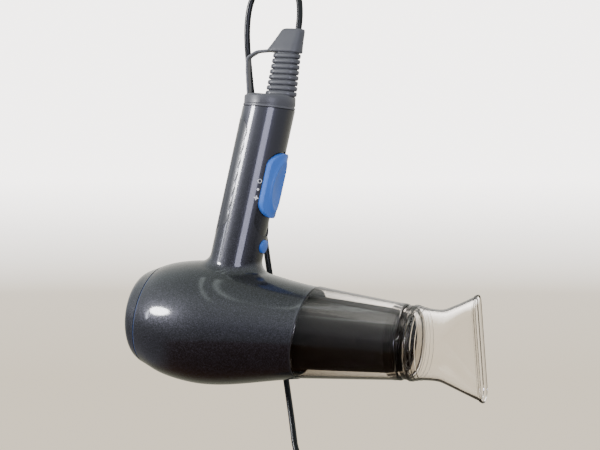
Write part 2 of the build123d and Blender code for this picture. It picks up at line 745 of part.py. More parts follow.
def plug_pins():
    """Two round pins with rounded tips."""
    pins = []
    for side in (-1, 1):
        place = (side * PIN_SPACING / 2, 0)
        pin = post(-PLUG_RELIEF - PLUG_HEIGHT - PIN_LENGTH, -PLUG_RELIEF - PLUG_HEIGHT, PIN_RADIUS, at=place)
        pins.append(PLUG * pin.chamfer(0.6, 0.6, [pin.edges().sort_by(Axis.Z)[0]]))
    return pins


def main():
    """Make every sub-part."""
    os.makedirs("parts", exist_ok=True)
    shell = housing()
    save("housing_left", BARREL * (shell & block((-FAR, 0.0, -FAR), (FAR, FAR, 2 * FAR))))
    save("housing_right", BARREL * (shell & block((-FAR, -FAR, -FAR), (FAR, 0.0, 2 * FAR))))
    save("housing_screws", *housing_screws())
    save("rear_cover", rear_cover())
    save("rear_trim_ring", slanted_ring(REAR_SEAM, REAR_SLANT, 0.9, 0.3, WALL + 1))
    save("intake_filter", intake_filter())
    save("seam_ring", slanted_ring(FRONT_SEAM, FRONT_SLANT, 0.9, 0.7, WALL))
    save("front_tube", front_tube())
    save("clear_sleeve", clear_sleeve())
    save("outlet_grille", outlet_grille())
    save("nozzle_ring", nozzle_ring())
    save("nozzle", nozzle())
    save("slide_knob", slide_knob())
    save("slide_carrier", slide_carrier())
    save("slide_track", slide_track())
    save("cool_button", cool_button())
    save("cool_spring", cool_spring())
    save("grip_panel", grip_panel())
    save("end_cap", end_cap())
    save("strain_relief", strain_relief())
    save("hanging_loop", hanging_loop())
    save("fan_impeller", fan_impeller())
    save("fan_duct", fan_duct())
    save("motor_can", motor_can())
    save("motor_shaft", motor_shaft())
    save("motor_end_bell", motor_end_bell())
    save("rectifier_board", rectifier_board())
    save("rectifier_diodes", *rectifier_diodes())
    save("heater_cross", heater_cross())
    save("heater_coils", *heater_coils())
    save("heater_tube", heater_tube())
    save("thermostat", thermostat())
    save("thermal_fuse", thermal_fuse())
    save("ion_module", ion_module())
    save("ion_needle", ion_needle())
    save("switch_body", switch_body())
    save("switch_terminals", *switch_terminals())
    save("cool_switch", cool_switch())
    save("circuit_board", circuit_board())
    save("capacitor", capacitor())
    save("inner_wires", *inner_wires())
    save("cord_clamp", cord_clamp())
    save("clamp_screws", *clamp_screws())
    save("power_cord", power_cord())
    save("cord_coil", cord_coil())
    save("coil_tie", coil_tie())
    save("cord_tail", cord_tail())
    save("plug_relief", plug_relief())
    save("plug_body", plug_body())
    save("plug_pins", *plug_pins())


if __name__ == "__main__":
    main()
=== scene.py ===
"""Looks of a full-size hair dryer that hangs by its loop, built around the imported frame.

Lengths are metres and angles are degrees unless a docstring says otherwise.  The working frames
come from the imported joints: the barrel's, the grip's, the end cap's and the strain relief's.  In
each, z runs along the piece's own axis, so a piece is modelled upright and then placed.
"""

import json
import logging
import math
from contextlib import contextmanager
from dataclasses import dataclass
from enum import Enum
from functools import cache
from typing import Callable, Iterator, Sequence

import bmesh
import bpy
from mathutils import Matrix, Vector

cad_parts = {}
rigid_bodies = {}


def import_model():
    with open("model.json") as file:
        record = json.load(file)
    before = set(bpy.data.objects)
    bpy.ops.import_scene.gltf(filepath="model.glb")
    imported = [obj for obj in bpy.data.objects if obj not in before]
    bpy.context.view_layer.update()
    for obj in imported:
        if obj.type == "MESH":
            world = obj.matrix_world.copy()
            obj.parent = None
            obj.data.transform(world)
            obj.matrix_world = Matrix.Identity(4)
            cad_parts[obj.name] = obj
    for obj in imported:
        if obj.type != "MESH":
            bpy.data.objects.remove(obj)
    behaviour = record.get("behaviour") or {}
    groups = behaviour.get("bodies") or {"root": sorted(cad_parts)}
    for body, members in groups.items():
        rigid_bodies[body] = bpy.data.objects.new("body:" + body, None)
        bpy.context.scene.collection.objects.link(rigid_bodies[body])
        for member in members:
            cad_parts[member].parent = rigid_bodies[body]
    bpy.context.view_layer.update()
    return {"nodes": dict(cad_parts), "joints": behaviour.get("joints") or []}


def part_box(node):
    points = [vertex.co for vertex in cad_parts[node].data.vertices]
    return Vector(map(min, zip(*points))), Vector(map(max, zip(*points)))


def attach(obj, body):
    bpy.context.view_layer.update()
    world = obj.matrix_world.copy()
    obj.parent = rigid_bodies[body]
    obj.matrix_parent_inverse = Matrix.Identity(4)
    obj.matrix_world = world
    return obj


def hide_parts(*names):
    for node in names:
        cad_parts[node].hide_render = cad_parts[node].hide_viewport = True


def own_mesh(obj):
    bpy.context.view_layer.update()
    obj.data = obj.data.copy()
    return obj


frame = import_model()

log = logging.getLogger("hair_dryer")
MM = 0.001
Colour = tuple[float, float, float]
Piece = bpy.types.Object
Material = bpy.types.Material
Socket = bpy.types.NodeSocket
MERGED = 1e-6  # points nearer than this are merged
CAD_GAP = 2e-6  # corners of a CAD node's loose triangles lie nearer than this
LEVEL = 1e-7  # heights nearer than this are the same


# Working frames

def joint_named(name: str) -> dict:
    """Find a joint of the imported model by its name."""
    return next(joint for joint in frame["joints"] if joint["name"] == name)


def in_mm(rows: Sequence[Sequence[float]]) -> list[tuple[float, ...]]:
    """Turn rows of millimetres into rows of metres."""
    return [tuple(value * MM for value in row) for row in rows]


def upright_frame(origin: Vector, along: Vector, forward: Vector) -> Matrix:
    """Make a frame whose z runs along an axis and whose x leans to a second direction.

    Args:
        origin: The frame's origin.
        along: The direction of its z axis.
        forward: The direction that its x axis follows as nearly as it can.

    Returns:
        The frame as a matrix.
    """
    z_axis = along.normalized()
    y_axis = z_axis.cross(forward).normalized()
    x_axis = y_axis.cross(z_axis)
    turn = Matrix((x_axis, y_axis, z_axis)).transposed().to_4x4()
    return Matrix.Translation(origin) @ turn


@dataclass(frozen=True)
class WorkFrames:
    """The frames that the pieces are modelled in."""

    junction: Vector = Vector(joint_named("fan_spin")["pos_m"])
    barrel_axis: Vector = Vector(joint_named("fan_spin")["axis"])
    grip_axis: Vector = -Vector(joint_named("switch_slide")["axis"])
    grip_top: float = 0.1575
    cap_slant: float = 7.0
    relief_shift: float = 0.008
    cap_height: float = 0.0085
    relief_lean: float = 3.0

    def barrel(self) -> Matrix:
        """The barrel's frame: z toward the outlet, x across to +Y, y up."""
        return upright_frame(self.junction, self.barrel_axis, Vector((0, 1, 0)))

    def grip(self) -> Matrix:
        """The grip's frame: z toward the cord, x forward, y across to +Y."""
        return upright_frame(self.junction, self.grip_axis, Vector((1, 0, 0)))

    def cap(self) -> Matrix:
        """The end cap's frame, on the grip's slanted end face."""
        slant = turn_by(-self.cap_slant, "Y")
        return self.grip() @ Matrix.Translation((0, 0, self.grip_top)) @ slant

    def relief(self) -> Matrix:
        """The strain relief's frame, on the cap's top."""
        lean = turn_by(self.relief_lean, "Y")
        return self.cap() @ Matrix.Translation((self.relief_shift, 0, self.cap_height)) @ lean


FRAMES = WorkFrames()


class Body(Enum):
    """The rigid bodies that pieces ride on."""

    DRYER = "dryer"
    FAN = "fan"
    SLIDER = "slider"
    BUTTON = "button"
    COVER = "cover"
    RING = "ring"
    NOZZLE = "nozzle"


# Modelling bench

def select_only(*objects: Piece) -> None:
    """Select these objects and nothing else.

    Args:
        *objects: The objects; the last becomes the active one.
    """
    if bpy.context.object and bpy.context.object.mode != "OBJECT":
        bpy.ops.object.mode_set(mode="OBJECT")
    for each in bpy.context.view_layer.objects:
        each.select_set(False)
    for each in objects:
        each.select_set(True)
        bpy.context.view_layer.objects.active = each


@contextmanager
def editing(obj: Piece) -> Iterator[None]:
    """Open an object in edit mode and close it again.

    Args:
        obj: The mesh object.

    Yields:
        Nothing; edit-mode operators act on the object meanwhile.
    """
    select_only(obj)
    bpy.ops.object.mode_set(mode="EDIT")
    bpy.ops.mesh.select_mode(type="VERT")
    try:
        yield
    finally:
        bpy.ops.object.mode_set(mode="OBJECT")


def pick(kind: str, chosen: Callable[[bmesh.types.BMVert], bool]) -> int:
    """Select the edited mesh's elements that a test accepts.

    Args:
        kind: "verts", "edges" or "faces".
        chosen: The test.

    Returns:
        How many were selected.
    """
    mesh = bpy.context.edit_object.data
    shape = bmesh.from_edit_mesh(mesh)
    bpy.ops.mesh.select_mode(type=kind[:-1].upper())
    bpy.ops.mesh.select_all(action="DESELECT")
    wanted = [element for element in getattr(shape, kind) if chosen(element)]
    for element in wanted:
        element.select_set(True)
    shape.select_flush_mode()
    bmesh.update_edit_mesh(mesh)
    return len(wanted)


def pick_all() -> None:
    """Select all of the edited mesh."""
    bpy.ops.mesh.select_all(action="SELECT")


def hang(obj: Piece) -> None:
    """Put a new object into the scene."""
    bpy.context.scene.collection.objects.link(obj)


def turn_by(degrees: float, axis: str) -> Matrix:
    """Return a turn about an axis as a matrix."""
    return Matrix.Rotation(math.radians(degrees), 4, axis)


def newest(name: str) -> Piece:
    """Name the primitive that was just added and return it."""
    obj = bpy.context.object
    obj.name = obj.data.name = name
    return obj


def face_outward(obj: Piece) -> None:
    """Merge doubled points and turn all faces outwards.

    Args:
        obj: The mesh object.
    """
    with editing(obj):
        pick_all()
        bpy.ops.mesh.remove_doubles(threshold=MERGED)
        bpy.ops.mesh.normals_make_consistent(inside=False)


def modify(obj: Piece, kind: str, **settings: object) -> None:
    """Add a modifier to an object and apply it.

    Args:
        obj: The mesh object.
        kind: The modifier's type, such as "BEVEL".
        **settings: Its settings by name.
    """
    modifier = obj.modifiers.new(kind.title(), kind)
    for key, value in settings.items():
        setattr(modifier, key, value)
    select_only(obj)
    bpy.ops.object.modifier_apply(modifier=modifier.name)


def soften_edges(obj: Piece, width: float, segments: int, angle: float) -> None:
    """Round off an object's edges that are sharper than an angle in degrees."""
    modify(obj, "BEVEL", width=width, segments=segments, limit_method="ANGLE",
           angle_limit=math.radians(angle), harden_normals=False)


def smooth(obj: Piece, angle: float) -> None:
    """Shade an object smooth but for edges sharper than an angle in degrees."""
    select_only(obj)
    bpy.ops.object.shade_smooth_by_angle(angle=math.radians(angle))


def place(obj: Piece, where: Matrix) -> None:
    """Move an object to its frame and put the move into its mesh."""
    obj.matrix_world = where @ obj.matrix_world
    select_only(obj)
    bpy.ops.object.transform_apply(location=True, rotation=True, scale=True)


def pull_rings(name: str, stations: Sequence[tuple[float, float]], sides: int = 96,
               capped: bool = False, closed: bool = False) -> Piece:
    """Pull a round of points through a list of stations, as on a lathe.

    Args:
        name: The new object's name.
        stations: Pairs of distance along z and radius.
        sides: Points in the round.
        capped: Whether both ends are filled.
        closed: Whether the last round is joined back to the first.

    Returns:
        The new object, about the z axis.
    """
    height, radius = stations[0]
    select_only()
    bpy.ops.mesh.primitive_circle_add(vertices=sides, radius=radius, location=(0, 0, height))
    obj = newest(name)
    place(obj, Matrix.Identity(4))
    with editing(obj):
        pick_all()
        for next_height, next_radius in stations[1:]:
            bpy.ops.mesh.extrude_region_move(TRANSFORM_OT_translate={"value": (0, 0, next_height - height)})
            grow = next_radius / radius
            bpy.ops.transform.resize(value=(grow, grow, 1), center_override=(0, 0, next_height))
            height, radius = next_height, next_radius
        if closed or capped:
            pick("edges", lambda edge: edge.is_boundary)
        if closed:
            bpy.ops.mesh.bridge_edge_loops()
        if capped:
            bpy.ops.mesh.edge_face_add()
    face_outward(obj)
    return obj


def pull_flat_rounds(name: str, stations: Sequence[tuple[float, float, float, float]], sides: int = 64,
                     capped: bool = False) -> Piece:
    """Pull a flat-sided round through a list of stations.

    Args:
        name: The new object's name.
        stations: For each, its place along z, its width along y, its length along x and its
            shift along x.  No two lie at the same z.
        sides: Points in the round.
        capped: Whether both ends are filled.

    Returns:
        The new object, about the z axis.
    """
    rounds = []
    for height, width, length, shift in stations:
        select_only()
        bpy.ops.mesh.primitive_circle_add(vertices=sides, radius=width / 2, location=(shift, 0, height))
        each = newest(name)
        place(each, Matrix.Identity(4))
        with editing(each):
            pick("verts", lambda vert: vert.co.x >= shift - LEVEL)
            bpy.ops.transform.translate(value=(length - width, 0, 0))
            pick_all()
            bpy.ops.transform.translate(value=(-(length - width) / 2, 0, 0))
        rounds.append(each)
    obj = join(name, *rounds)
    with editing(obj):
        for lower, upper in zip(stations, stations[1:]):
            heights = (lower[0], upper[0])
            if pick("edges", lambda edge: flat_at(edge, heights)):
                bpy.ops.mesh.bridge_edge_loops()
        if capped:
            pick("edges", lambda edge: edge.is_boundary)
            bpy.ops.mesh.edge_face_add()
    face_outward(obj)
    return obj


def flat_at(edge: bmesh.types.BMEdge, heights: Sequence[float]) -> bool:
    """Tell whether an edge lies level at one of some heights."""
    first, second = (vert.co.z for vert in edge.verts)
    return abs(first - second) < LEVEL and any(abs(first - height) < LEVEL for height in heights)


def raise_where(obj: Piece, height: float, rule: Callable[[Vector], float]) -> None:
    """Raise a surface along its normals, by a share that a rule gives at each point.

    Args:
        obj: The mesh object.
        height: The full height.
        rule: Gives the share, from -1 to 1, at a point.
    """
    for direction in (1, -1):
        group = obj.vertex_groups.new(name="raised")
        for vert in obj.data.vertices:
            group.add([vert.index], max(0.0, direction * rule(vert.co)), "REPLACE")
        modify(obj, "DISPLACE", strength=direction * height, mid_level=0.0, vertex_group=group.name)
        obj.vertex_groups.clear()


def soft_moulding(node: str, grain: float, passes: int) -> Piece:
    """Turn a CAD node into an evenly meshed moulding with softened edges.

    Args:
        node: The node's name.
        grain: The size of the mesh's cells.
        passes: How many times the surface is relaxed.

    Returns:
        The moulding.
    """
    obj = polished_copy(node)
    modify(obj, "REMESH", mode="VOXEL", voxel_size=grain, use_smooth_shade=True)
    modify(obj, "SMOOTH", factor=0.5, iterations=passes)
    return obj


def join(name: str, *parts: Piece) -> Piece:
    """Join several objects into the first.

    Args:
        name: The joined object's name.
        *parts: The objects.

    Returns:
        The joined object.
    """
    select_only(*reversed(parts))
    bpy.ops.object.join()
    return newest(name)


def polished_copy(node: str) -> Piece:
    """Copy a CAD node with its loose triangles merged, so that it can be shaded smooth.

    Args:
        node: The node's name.

    Returns:
        The copy, free of the frame.
    """
    twin = frame["nodes"][node].copy()
    twin.data = twin.data.copy()
    twin.name = twin.data.name = f"{node}_shell"
    hang(twin)
    twin.parent = None
    for key in list(twin.keys()):
        del twin[key]
    twin.hide_render = False
    twin.data.materials.clear()
    if "custom_normal" in twin.data.attributes:
        twin.data.attributes.remove(twin.data.attributes["custom_normal"])
    with editing(twin):
        pick_all()
        bpy.ops.mesh.remove_doubles(threshold=CAD_GAP)
        bpy.ops.mesh.customdata_custom_splitnormals_clear()
    return twin


# Shader desk and shared effects

@dataclass
class Desk:
    """A node tree with short ways to add nodes and join them."""

    tree: bpy.types.NodeTree

    def put(self, socket: Socket, value: object) -> None:
        """Join an output to an input, or set the input to a plain value."""
        if isinstance(value, Socket):
            self.tree.links.new(value, socket)
        else:
            socket.default_value = value

    def add(self, kind: str, **inputs: object) -> bpy.types.Node:
        """Add a node.

        Args:
            kind: The node's type without the leading "ShaderNode".
            **inputs: Values or output sockets for its inputs, with _ for spaces.

        Returns:
            The node.
        """
        node = self.tree.nodes.new(f"ShaderNode{kind}")
        for name, value in inputs.items():
            self.put(node.inputs[name.replace("_", " ")], value)
        return node

    def ramp(self, factor: Socket, stops: Sequence[tuple[float, object]]) -> Socket:
        """Map a value through stops.

        Args:
            factor: The value.
            stops: Pairs of place and tone, which is a grey or a colour.

        Returns:
            The colour output.
        """
        node = self.add("ValToRGB", Fac=factor)
        while len(node.color_ramp.elements) < len(stops):
            node.color_ramp.elements.new(0.5)
        for element, (where, tone) in zip(node.color_ramp.elements, stops):
            element.position = where
            element.color = (*tone, 1) if isinstance(tone, tuple) else (tone, tone, tone, 1)
        return node.outputs["Color"]

    def maths(self, operation: str, first: object, second: object = 0.0) -> Socket:
        """Combine two values with a math operation and return the output."""
        node = self.add("Math")
        node.operation = operation
        for socket, value in zip(node.inputs, (first, second)):
            self.put(socket, value)
        return node.outputs["Value"]

    def scaled(self, value: Socket, share: float, base: float) -> Socket:
        """Add a share of a value to a base."""
        return self.maths("ADD", self.maths("MULTIPLY", value, share), base)

    def step(self, value: Socket, start: float, end: float) -> Socket:
        """Turn a value into a slope from 0 at start to 1 at end."""
        return self.maths("MULTIPLY", self.maths("SUBTRACT", value, start), 1 / (end - start))

    def clamp(self, value: Socket, start: float, end: float) -> Socket:
        """Turn a value into a slope that is held between 0 and 1."""
        return self.maths("MINIMUM", self.maths("MAXIMUM", self.step(value, start, end), 0.0), 1.0)

    def blend(self, factor: object, first: object, second: object) -> Socket:
        """Mix two colours, each an output or a plain colour, and return the output."""
        node = self.add("Mix")
        node.data_type = "RGBA"
        for index, value in ((0, factor), (6, first), (7, second)):
            self.put(node.inputs[index], (*value, 1) if isinstance(value, tuple) else value)
        return node.outputs[2]


def new_effect(name: str, inputs: dict[str, float], outputs: Sequence[str]) -> tuple[Desk, object, object]:
    """Start a shader node group.

    Args:
        name: The group's name.
        inputs: Its number inputs and their defaults, after the vector input.
        outputs: Its number outputs.

    Returns:
        The desk, the values that the group is given, and its results.
    """
    group = bpy.data.node_groups.new(name, "ShaderNodeTree")
    new_socket = group.interface.new_socket
    new_socket("Vector", in_out="INPUT", socket_type="NodeSocketVector")
    for key, value in inputs.items():
        new_socket(key, in_out="INPUT", socket_type="NodeSocketFloat").default_value = value
    for key in outputs:
        new_socket(key, in_out="OUTPUT", socket_type="NodeSocketFloat")
    given, result = group.nodes.new("NodeGroupInput"), group.nodes.new("NodeGroupOutput")
    return Desk(group), given.outputs, result.inputs


def mould_grain() -> None:
    """A fine spark-eroded mould grain: a height, and a slow unevenness of tone."""
    desk, given, result = new_effect("Mould grain", {"Grain": 2200.0, "Patch": 30.0}, ("Height", "Tone"))
    for output, scale, detail in (("Height", "Grain", 2.0), ("Tone", "Patch", 3.0)):
        noise = desk.add("TexNoise", Vector=given["Vector"], Scale=given[scale], Detail=detail)
        desk.put(result[output], noise.outputs["Fac"])


def handling() -> None:
    """Finger smears, fine wiping scratches and worn edges, each as a mask."""
    desk, given, result = new_effect("Handling", {"Smear": 45.0, "Scratch": 900.0},
                                     ("Smears", "Scratches", "Edges"))
    smear = desk.add("TexNoise", Vector=given["Vector"], Scale=given["Smear"], Detail=4.0, Distortion=0.6)
    stretched = desk.add("Mapping", Vector=given["Vector"], Scale=(1.0, 1.0, 0.06), Rotation=(0.5, 0.3, 0.2))
    scratch = desk.add("TexNoise", Vector=stretched.outputs["Vector"], Scale=given["Scratch"], Detail=1.0)
    bend = desk.add("NewGeometry")
    for output, mask, low, high in (("Smears", smear.outputs["Fac"], 0.45, 0.68),
                                    ("Scratches", scratch.outputs["Fac"], 0.66, 0.74),
                                    ("Edges", bend.outputs["Pointiness"], 0.53, 0.62)):
        desk.put(result[output], desk.ramp(mask, ((low, 0.0), (high, 1.0))))


def flakes() -> None:
    """Metallic flakes in a lacquer: how bright each flake is, and how it tilts."""
    desk, given, result = new_effect("Lacquer flakes", {"Flake": 1500.0}, ("Sparkle", "Tilt"))
    cells = desk.add("TexVoronoi", Vector=given["Vector"], Scale=given["Flake"])
    split = desk.add("SeparateColor", Color=cells.outputs["Color"])
    desk.put(result["Sparkle"], desk.ramp(split.outputs[0], ((0.55, 0.0), (1.0, 1.0))))
    desk.put(result["Tilt"], split.outputs[1])


class Effect(Enum):
    """The shared effects, each built once."""

    GRAIN = "Mould grain"
    HANDLING = "Handling"
    FLAKES = "Lacquer flakes"


EFFECT_MAKERS: dict[Effect, Callable[[], None]] = {
    Effect.GRAIN: mould_grain, Effect.HANDLING: handling, Effect.FLAKES: flakes}


@dataclass
class Paint(Desk):
    """A material's node tree, with its Principled BSDF and its Object coordinates."""

    material: Material
    shader: bpy.types.Node
    where: Socket

    def effect(self, effect: Effect, **inputs: float) -> bpy.types.bpy_prop_collection:
        """Place a shared effect.

        Args:
            effect: Which one.
            **inputs: Values for its number inputs.

        Returns:
            The group node's outputs.
        """
        if effect.value not in bpy.data.node_groups:
            EFFECT_MAKERS[effect]()
        node = self.add("Group")
        node.node_tree = bpy.data.node_groups[effect.value]
        for name, value in {"Vector": self.where, **inputs}.items():
            self.put(node.inputs[name], value)
        return node.outputs

    def feed(self, socket: str, source: Socket) -> None:
        """Join an output to one of the shader's inputs."""
        self.put(self.shader.inputs[socket], source)

    def bump(self, height: Socket, strength: float, depth: float) -> None:
        """Let a height turn the shader's normal; its depth is what a height of 1 is, in metres."""
        node = self.add("Bump", Strength=strength, Distance=depth, Height=height)
        self.feed("Normal", node.outputs["Normal"])


def new_paint(name: str, colour: Colour, **settings: float) -> Paint:
    """Start a material.

    Args:
        name: Its name.
        colour: Its base colour.
        **settings: Values for the shader's inputs, with _ for spaces.

    Returns:
        The paint to build on.
    """
    material = bpy.data.materials.new(name)
    material.use_nodes = True
    tree = material.node_tree
    shader = next(node for node in tree.nodes if node.type == "BSDF_PRINCIPLED")
    shader.inputs["Base Color"].default_value = (*colour, 1)
    for key, value in settings.items():
        shader.inputs[key.replace("_", " ")].default_value = value
    where = tree.nodes.new("ShaderNodeTexCoord").outputs["Object"]
    return Paint(tree=tree, material=material, shader=shader, where=where)


# Finishes

@dataclass(frozen=True)
class Finish:
    """What every finish has: its material's name, its colour and its roughness."""

    name: str
    colour: Colour
    gloss: float = 0.45

    def build(self) -> Material:
        """Build the material."""
        raise NotImplementedError

    def shade(self, share: float) -> Colour:
        """Return the colour, brightened or darkened."""
        return tuple(share * value for value in self.colour)


@cache
def material_of(finish: Finish) -> Material:
    """Build a finish's material, the first time that it is asked for."""
    return finish.build()


@dataclass(frozen=True)
class PearlLacquer(Finish):
    """Dark gunmetal lacquer with fine light flakes under a clear gloss, worn along its edges."""

    light: Colour = (0.055, 0.053, 0.070)
    worn: Colour = (0.05, 0.05, 0.06)

    def build(self) -> Material:
        """Build the material."""
        paint = new_paint(self.name, self.colour, Metallic=0.75, Roughness=self.gloss, Coat_Weight=1.0,
                          Coat_Roughness=0.10, Coat_IOR=1.55, Specular_IOR_Level=0.5)
        flake = paint.effect(Effect.FLAKES, Flake=3400.0)
        wear = paint.effect(Effect.HANDLING, Smear=38.0)
        colour = paint.blend(flake["Sparkle"], self.colour, self.light)
        paint.feed("Base Color", paint.blend(wear["Edges"], colour, self.worn))
        paint.feed("Roughness", paint.scaled(wear["Smears"], 0.09, self.gloss))
        paint.bump(flake["Tilt"], 0.06, 0.00008)
        return paint.material


@dataclass(frozen=True)
class MouldedPlastic(Finish):
    """A moulded plastic with mould grain, uneven tone and handled edges.

    Attributes:
        grain: The grain's depth in metres.
        worn: The colour of its rubbed edges.
        coat: Weight of a clear gloss over it.
    """

    grain: float = 0.00003
    worn: Colour = (0.2, 0.2, 0.21)
    coat: float = 0.0

    def build(self) -> Material:
        """Build the material."""
        paint = new_paint(self.name, self.colour, Roughness=self.gloss, Coat_Weight=self.coat,
                          Coat_Roughness=0.08)
        grain = paint.effect(Effect.GRAIN, Grain=2600.0, Patch=42.0)
        wear = paint.effect(Effect.HANDLING)
        toned = paint.blend(grain["Tone"], self.colour, self.shade(0.82))
        rubbed = paint.maths("MULTIPLY", wear["Edges"], 0.5)
        paint.feed("Base Color", paint.blend(rubbed, toned, self.worn))
        paint.feed("Roughness", paint.scaled(wear["Smears"], 0.10, self.gloss))
        paint.bump(grain["Height"], 0.5, self.grain)
        return paint.material


@dataclass(frozen=True)
class ClearPlastic(Finish):
    """Clear moulded plastic with a faint tint and fine scratches.

    Attributes:
        edge: Its colour along sharp edges: partly the tint of more plastic looked through there, partly painted
            shade for the dark lines that edges show.
        index: Its index of refraction.
    """

    edge: Colour = (0.42, 0.40, 0.37)
    index: float = 1.38

    def build(self) -> Material:
        """Build the material."""
        paint = new_paint(self.name, self.colour, Roughness=self.gloss, Transmission_Weight=1.0,
                          IOR=self.index)
        wear = paint.effect(Effect.HANDLING, Smear=60.0, Scratch=1200.0)
        marks = paint.maths("MULTIPLY", wear["Scratches"], 0.05)
        smears = paint.maths("MULTIPLY", wear["Smears"], 0.015)
        paint.feed("Roughness", paint.maths("ADD", paint.maths("ADD", marks, smears), self.gloss))
        # sharp edges darkened: partly the tint of thicker plastic, partly painted shade
        paint.feed("Base Color", paint.blend(wear["Edges"], self.colour, self.edge))
        grain = paint.effect(Effect.GRAIN, Grain=90.0)
        paint.bump(grain["Height"], 0.06, 0.0004)
        return paint.material


@dataclass(frozen=True)
class CordSheath(Finish):
    """Black vinyl cord with a soft shine and slight kinks of tone."""

    def build(self) -> Material:
        """Build the material."""
        paint = new_paint(self.name, self.colour, Roughness=self.gloss, Specular_IOR_Level=0.3)
        grain = paint.effect(Effect.GRAIN, Grain=1500.0, Patch=120.0)
        paint.feed("Roughness", paint.scaled(grain["Tone"], 0.22, self.gloss))
        paint.bump(grain["Height"], 0.3, 0.00003)
        return paint.material


@dataclass(frozen=True)
class Metal(Finish):
    """A plain metal with brushed unevenness."""

    def build(self) -> Material:
        """Build the material."""
        paint = new_paint(self.name, self.colour, Metallic=1.0, Roughness=self.gloss)
        wear = paint.effect(Effect.HANDLING, Scratch=700.0)
        grain = paint.effect(Effect.GRAIN, Grain=900.0, Patch=90.0)
        paint.feed("Base Color", paint.blend(grain["Tone"], self.colour, self.shade(0.6)))
        paint.feed("Roughness", paint.scaled(wear["Scratches"], 0.2, self.gloss))
        return paint.material


@dataclass(frozen=True)
class WovenTape(Finish):
    """The ribbed hook-and-loop tape of a cord tie; its pitch is in threads to the metre."""

    pitch: float = 1400.0

    def build(self) -> Material:
        """Build the material."""
        paint = new_paint(self.name, self.colour, Roughness=self.gloss, Sheen_Weight=0.35,
                          Sheen_Roughness=0.5)
        fuzz = paint.effect(Effect.GRAIN, Grain=self.pitch, Patch=200.0)
        ribs = paint.add("TexWave", Vector=paint.where, Scale=self.pitch / 4, Distortion=0.6)
        paint.feed("Base Color", paint.blend(fuzz["Height"], self.colour, self.shade(1.8)))
        paint.bump(paint.maths("ADD", ribs.outputs["Fac"], fuzz["Height"]), 0.8, 0.00025)
        return paint.material


@dataclass(frozen=True)
class FilterMesh(Finish):
    """A fine woven dust filter, with so many holes to the metre."""

    hole: Colour = (0.008, 0.008, 0.009)
    holes: float = 900.0

    def build(self) -> Material:
        """Build the material."""
        paint = new_paint(self.name, self.colour, Roughness=self.gloss)
        holes = paint.add("TexVoronoi", Vector=paint.where, Scale=self.holes)
        threads = paint.ramp(holes.outputs["Distance"], ((0.25, 0.0), (0.5, 1.0)))
        paint.feed("Base Color", paint.blend(threads, self.hole, self.colour))
        paint.bump(threads, 0.7, 0.0003)
        return paint.material


@dataclass(frozen=True)
class MicaSheet(Finish):
    """Flaky amber mica with darker flakes."""

    dark: Colour = (0.36, 0.27, 0.15)

    def build(self) -> Material:
        """Build the material."""
        paint = new_paint(self.name, self.colour, Roughness=self.gloss)
        grain = paint.effect(Effect.GRAIN, Grain=700.0, Patch=160.0)
        paint.feed("Base Color", paint.blend(grain["Tone"], self.colour, self.dark))
        paint.bump(grain["Height"], 0.4, 0.0001)
        return paint.material


GUNMETAL = PearlLacquer("pearl_gunmetal", (0.007, 0.0075, 0.0095), 0.40)
MATTE_DARK = MouldedPlastic("matte_dark", (0.066, 0.067, 0.075), 0.36, worn=(0.13, 0.13, 0.14))
SOFT_GRIP = MouldedPlastic("soft_grip", (0.022, 0.023, 0.027), 0.38, 0.00002,
                           worn=(0.06, 0.06, 0.07), coat=0.35)
RELIEF_VINYL = MouldedPlastic("relief_vinyl", (0.070, 0.072, 0.080), 0.36, 0.00002,
                              worn=(0.10, 0.10, 0.11))
CONTROL_BLUE = MouldedPlastic("control_blue", (0.035, 0.140, 0.520), 0.34, 0.00002,
                              worn=(0.12, 0.28, 0.68))
TRIM_BLUE = MouldedPlastic("trim_blue", (0.022, 0.038, 0.10), 0.25, 0.00001,
                           worn=(0.06, 0.09, 0.18), coat=0.5)
TUBE_DARK = MouldedPlastic("tube_dark", (0.026, 0.022, 0.021), 0.30, 0.000002,
                           worn=(0.05, 0.05, 0.06), coat=0.25)
GRILLE_DARK = MouldedPlastic("grille_dark", (0.012, 0.010, 0.008), 0.34, 0.00003, worn=(0.05, 0.04, 0.03))
PRINT_WHITE = MouldedPlastic("print_white", (0.78, 0.78, 0.80), 0.5, 0.00001, worn=(0.6, 0.6, 0.62))
INNER_CREAM = MouldedPlastic("inner_cream", (0.50, 0.47, 0.40), 0.55, worn=(0.6, 0.58, 0.5))
BOARD_GREEN = MouldedPlastic("board_green", (0.03, 0.13, 0.06), 0.4, worn=(0.3, 0.3, 0.1), coat=0.3)
FILM_AMBER = MouldedPlastic("film_amber", (0.42, 0.22, 0.03), 0.25, worn=(0.5, 0.35, 0.1), coat=0.5)
WIRE_RED = MouldedPlastic("wire_red", (0.38, 0.03, 0.02), 0.35, worn=(0.5, 0.1, 0.1))
PLUG_BLACK = MouldedPlastic("plug_black", (0.016, 0.016, 0.018), 0.36, worn=(0.06, 0.06, 0.065))
CLEAR = ClearPlastic("clear_plastic", (0.968, 0.952, 0.922), 0.012)
CLEAR_SMOKE = ClearPlastic("clear_smoke", (0.90, 0.88, 0.86), 0.012, index=1.14)
CORD_BLACK = CordSheath("cord_black", (0.006, 0.007, 0.007), 0.2)
TIE_TAPE = WovenTape("tie_tape", (0.028, 0.029, 0.033), 0.9)
MESH = FilterMesh("filter_mesh", (0.09, 0.09, 0.1), 0.7)
MICA = MicaSheet("mica", (0.60, 0.52, 0.36), 0.4)
SCREW_ZINC = Metal("screw_zinc", (0.50, 0.50, 0.52), 0.3)
MOTOR_STEEL = Metal("motor_steel", (0.46, 0.46, 0.47), 0.34)
SPRING_STEEL = Metal("spring_steel", (0.6, 0.6, 0.62), 0.22)
HEATING_WIRE = Metal("heating_wire", (0.30, 0.25, 0.21), 0.45)
BRASS = Metal("brass", (0.70, 0.52, 0.24), 0.3)
NICKEL = Metal("nickel", (0.72, 0.70, 0.66), 0.16)


# Sub-assemblies

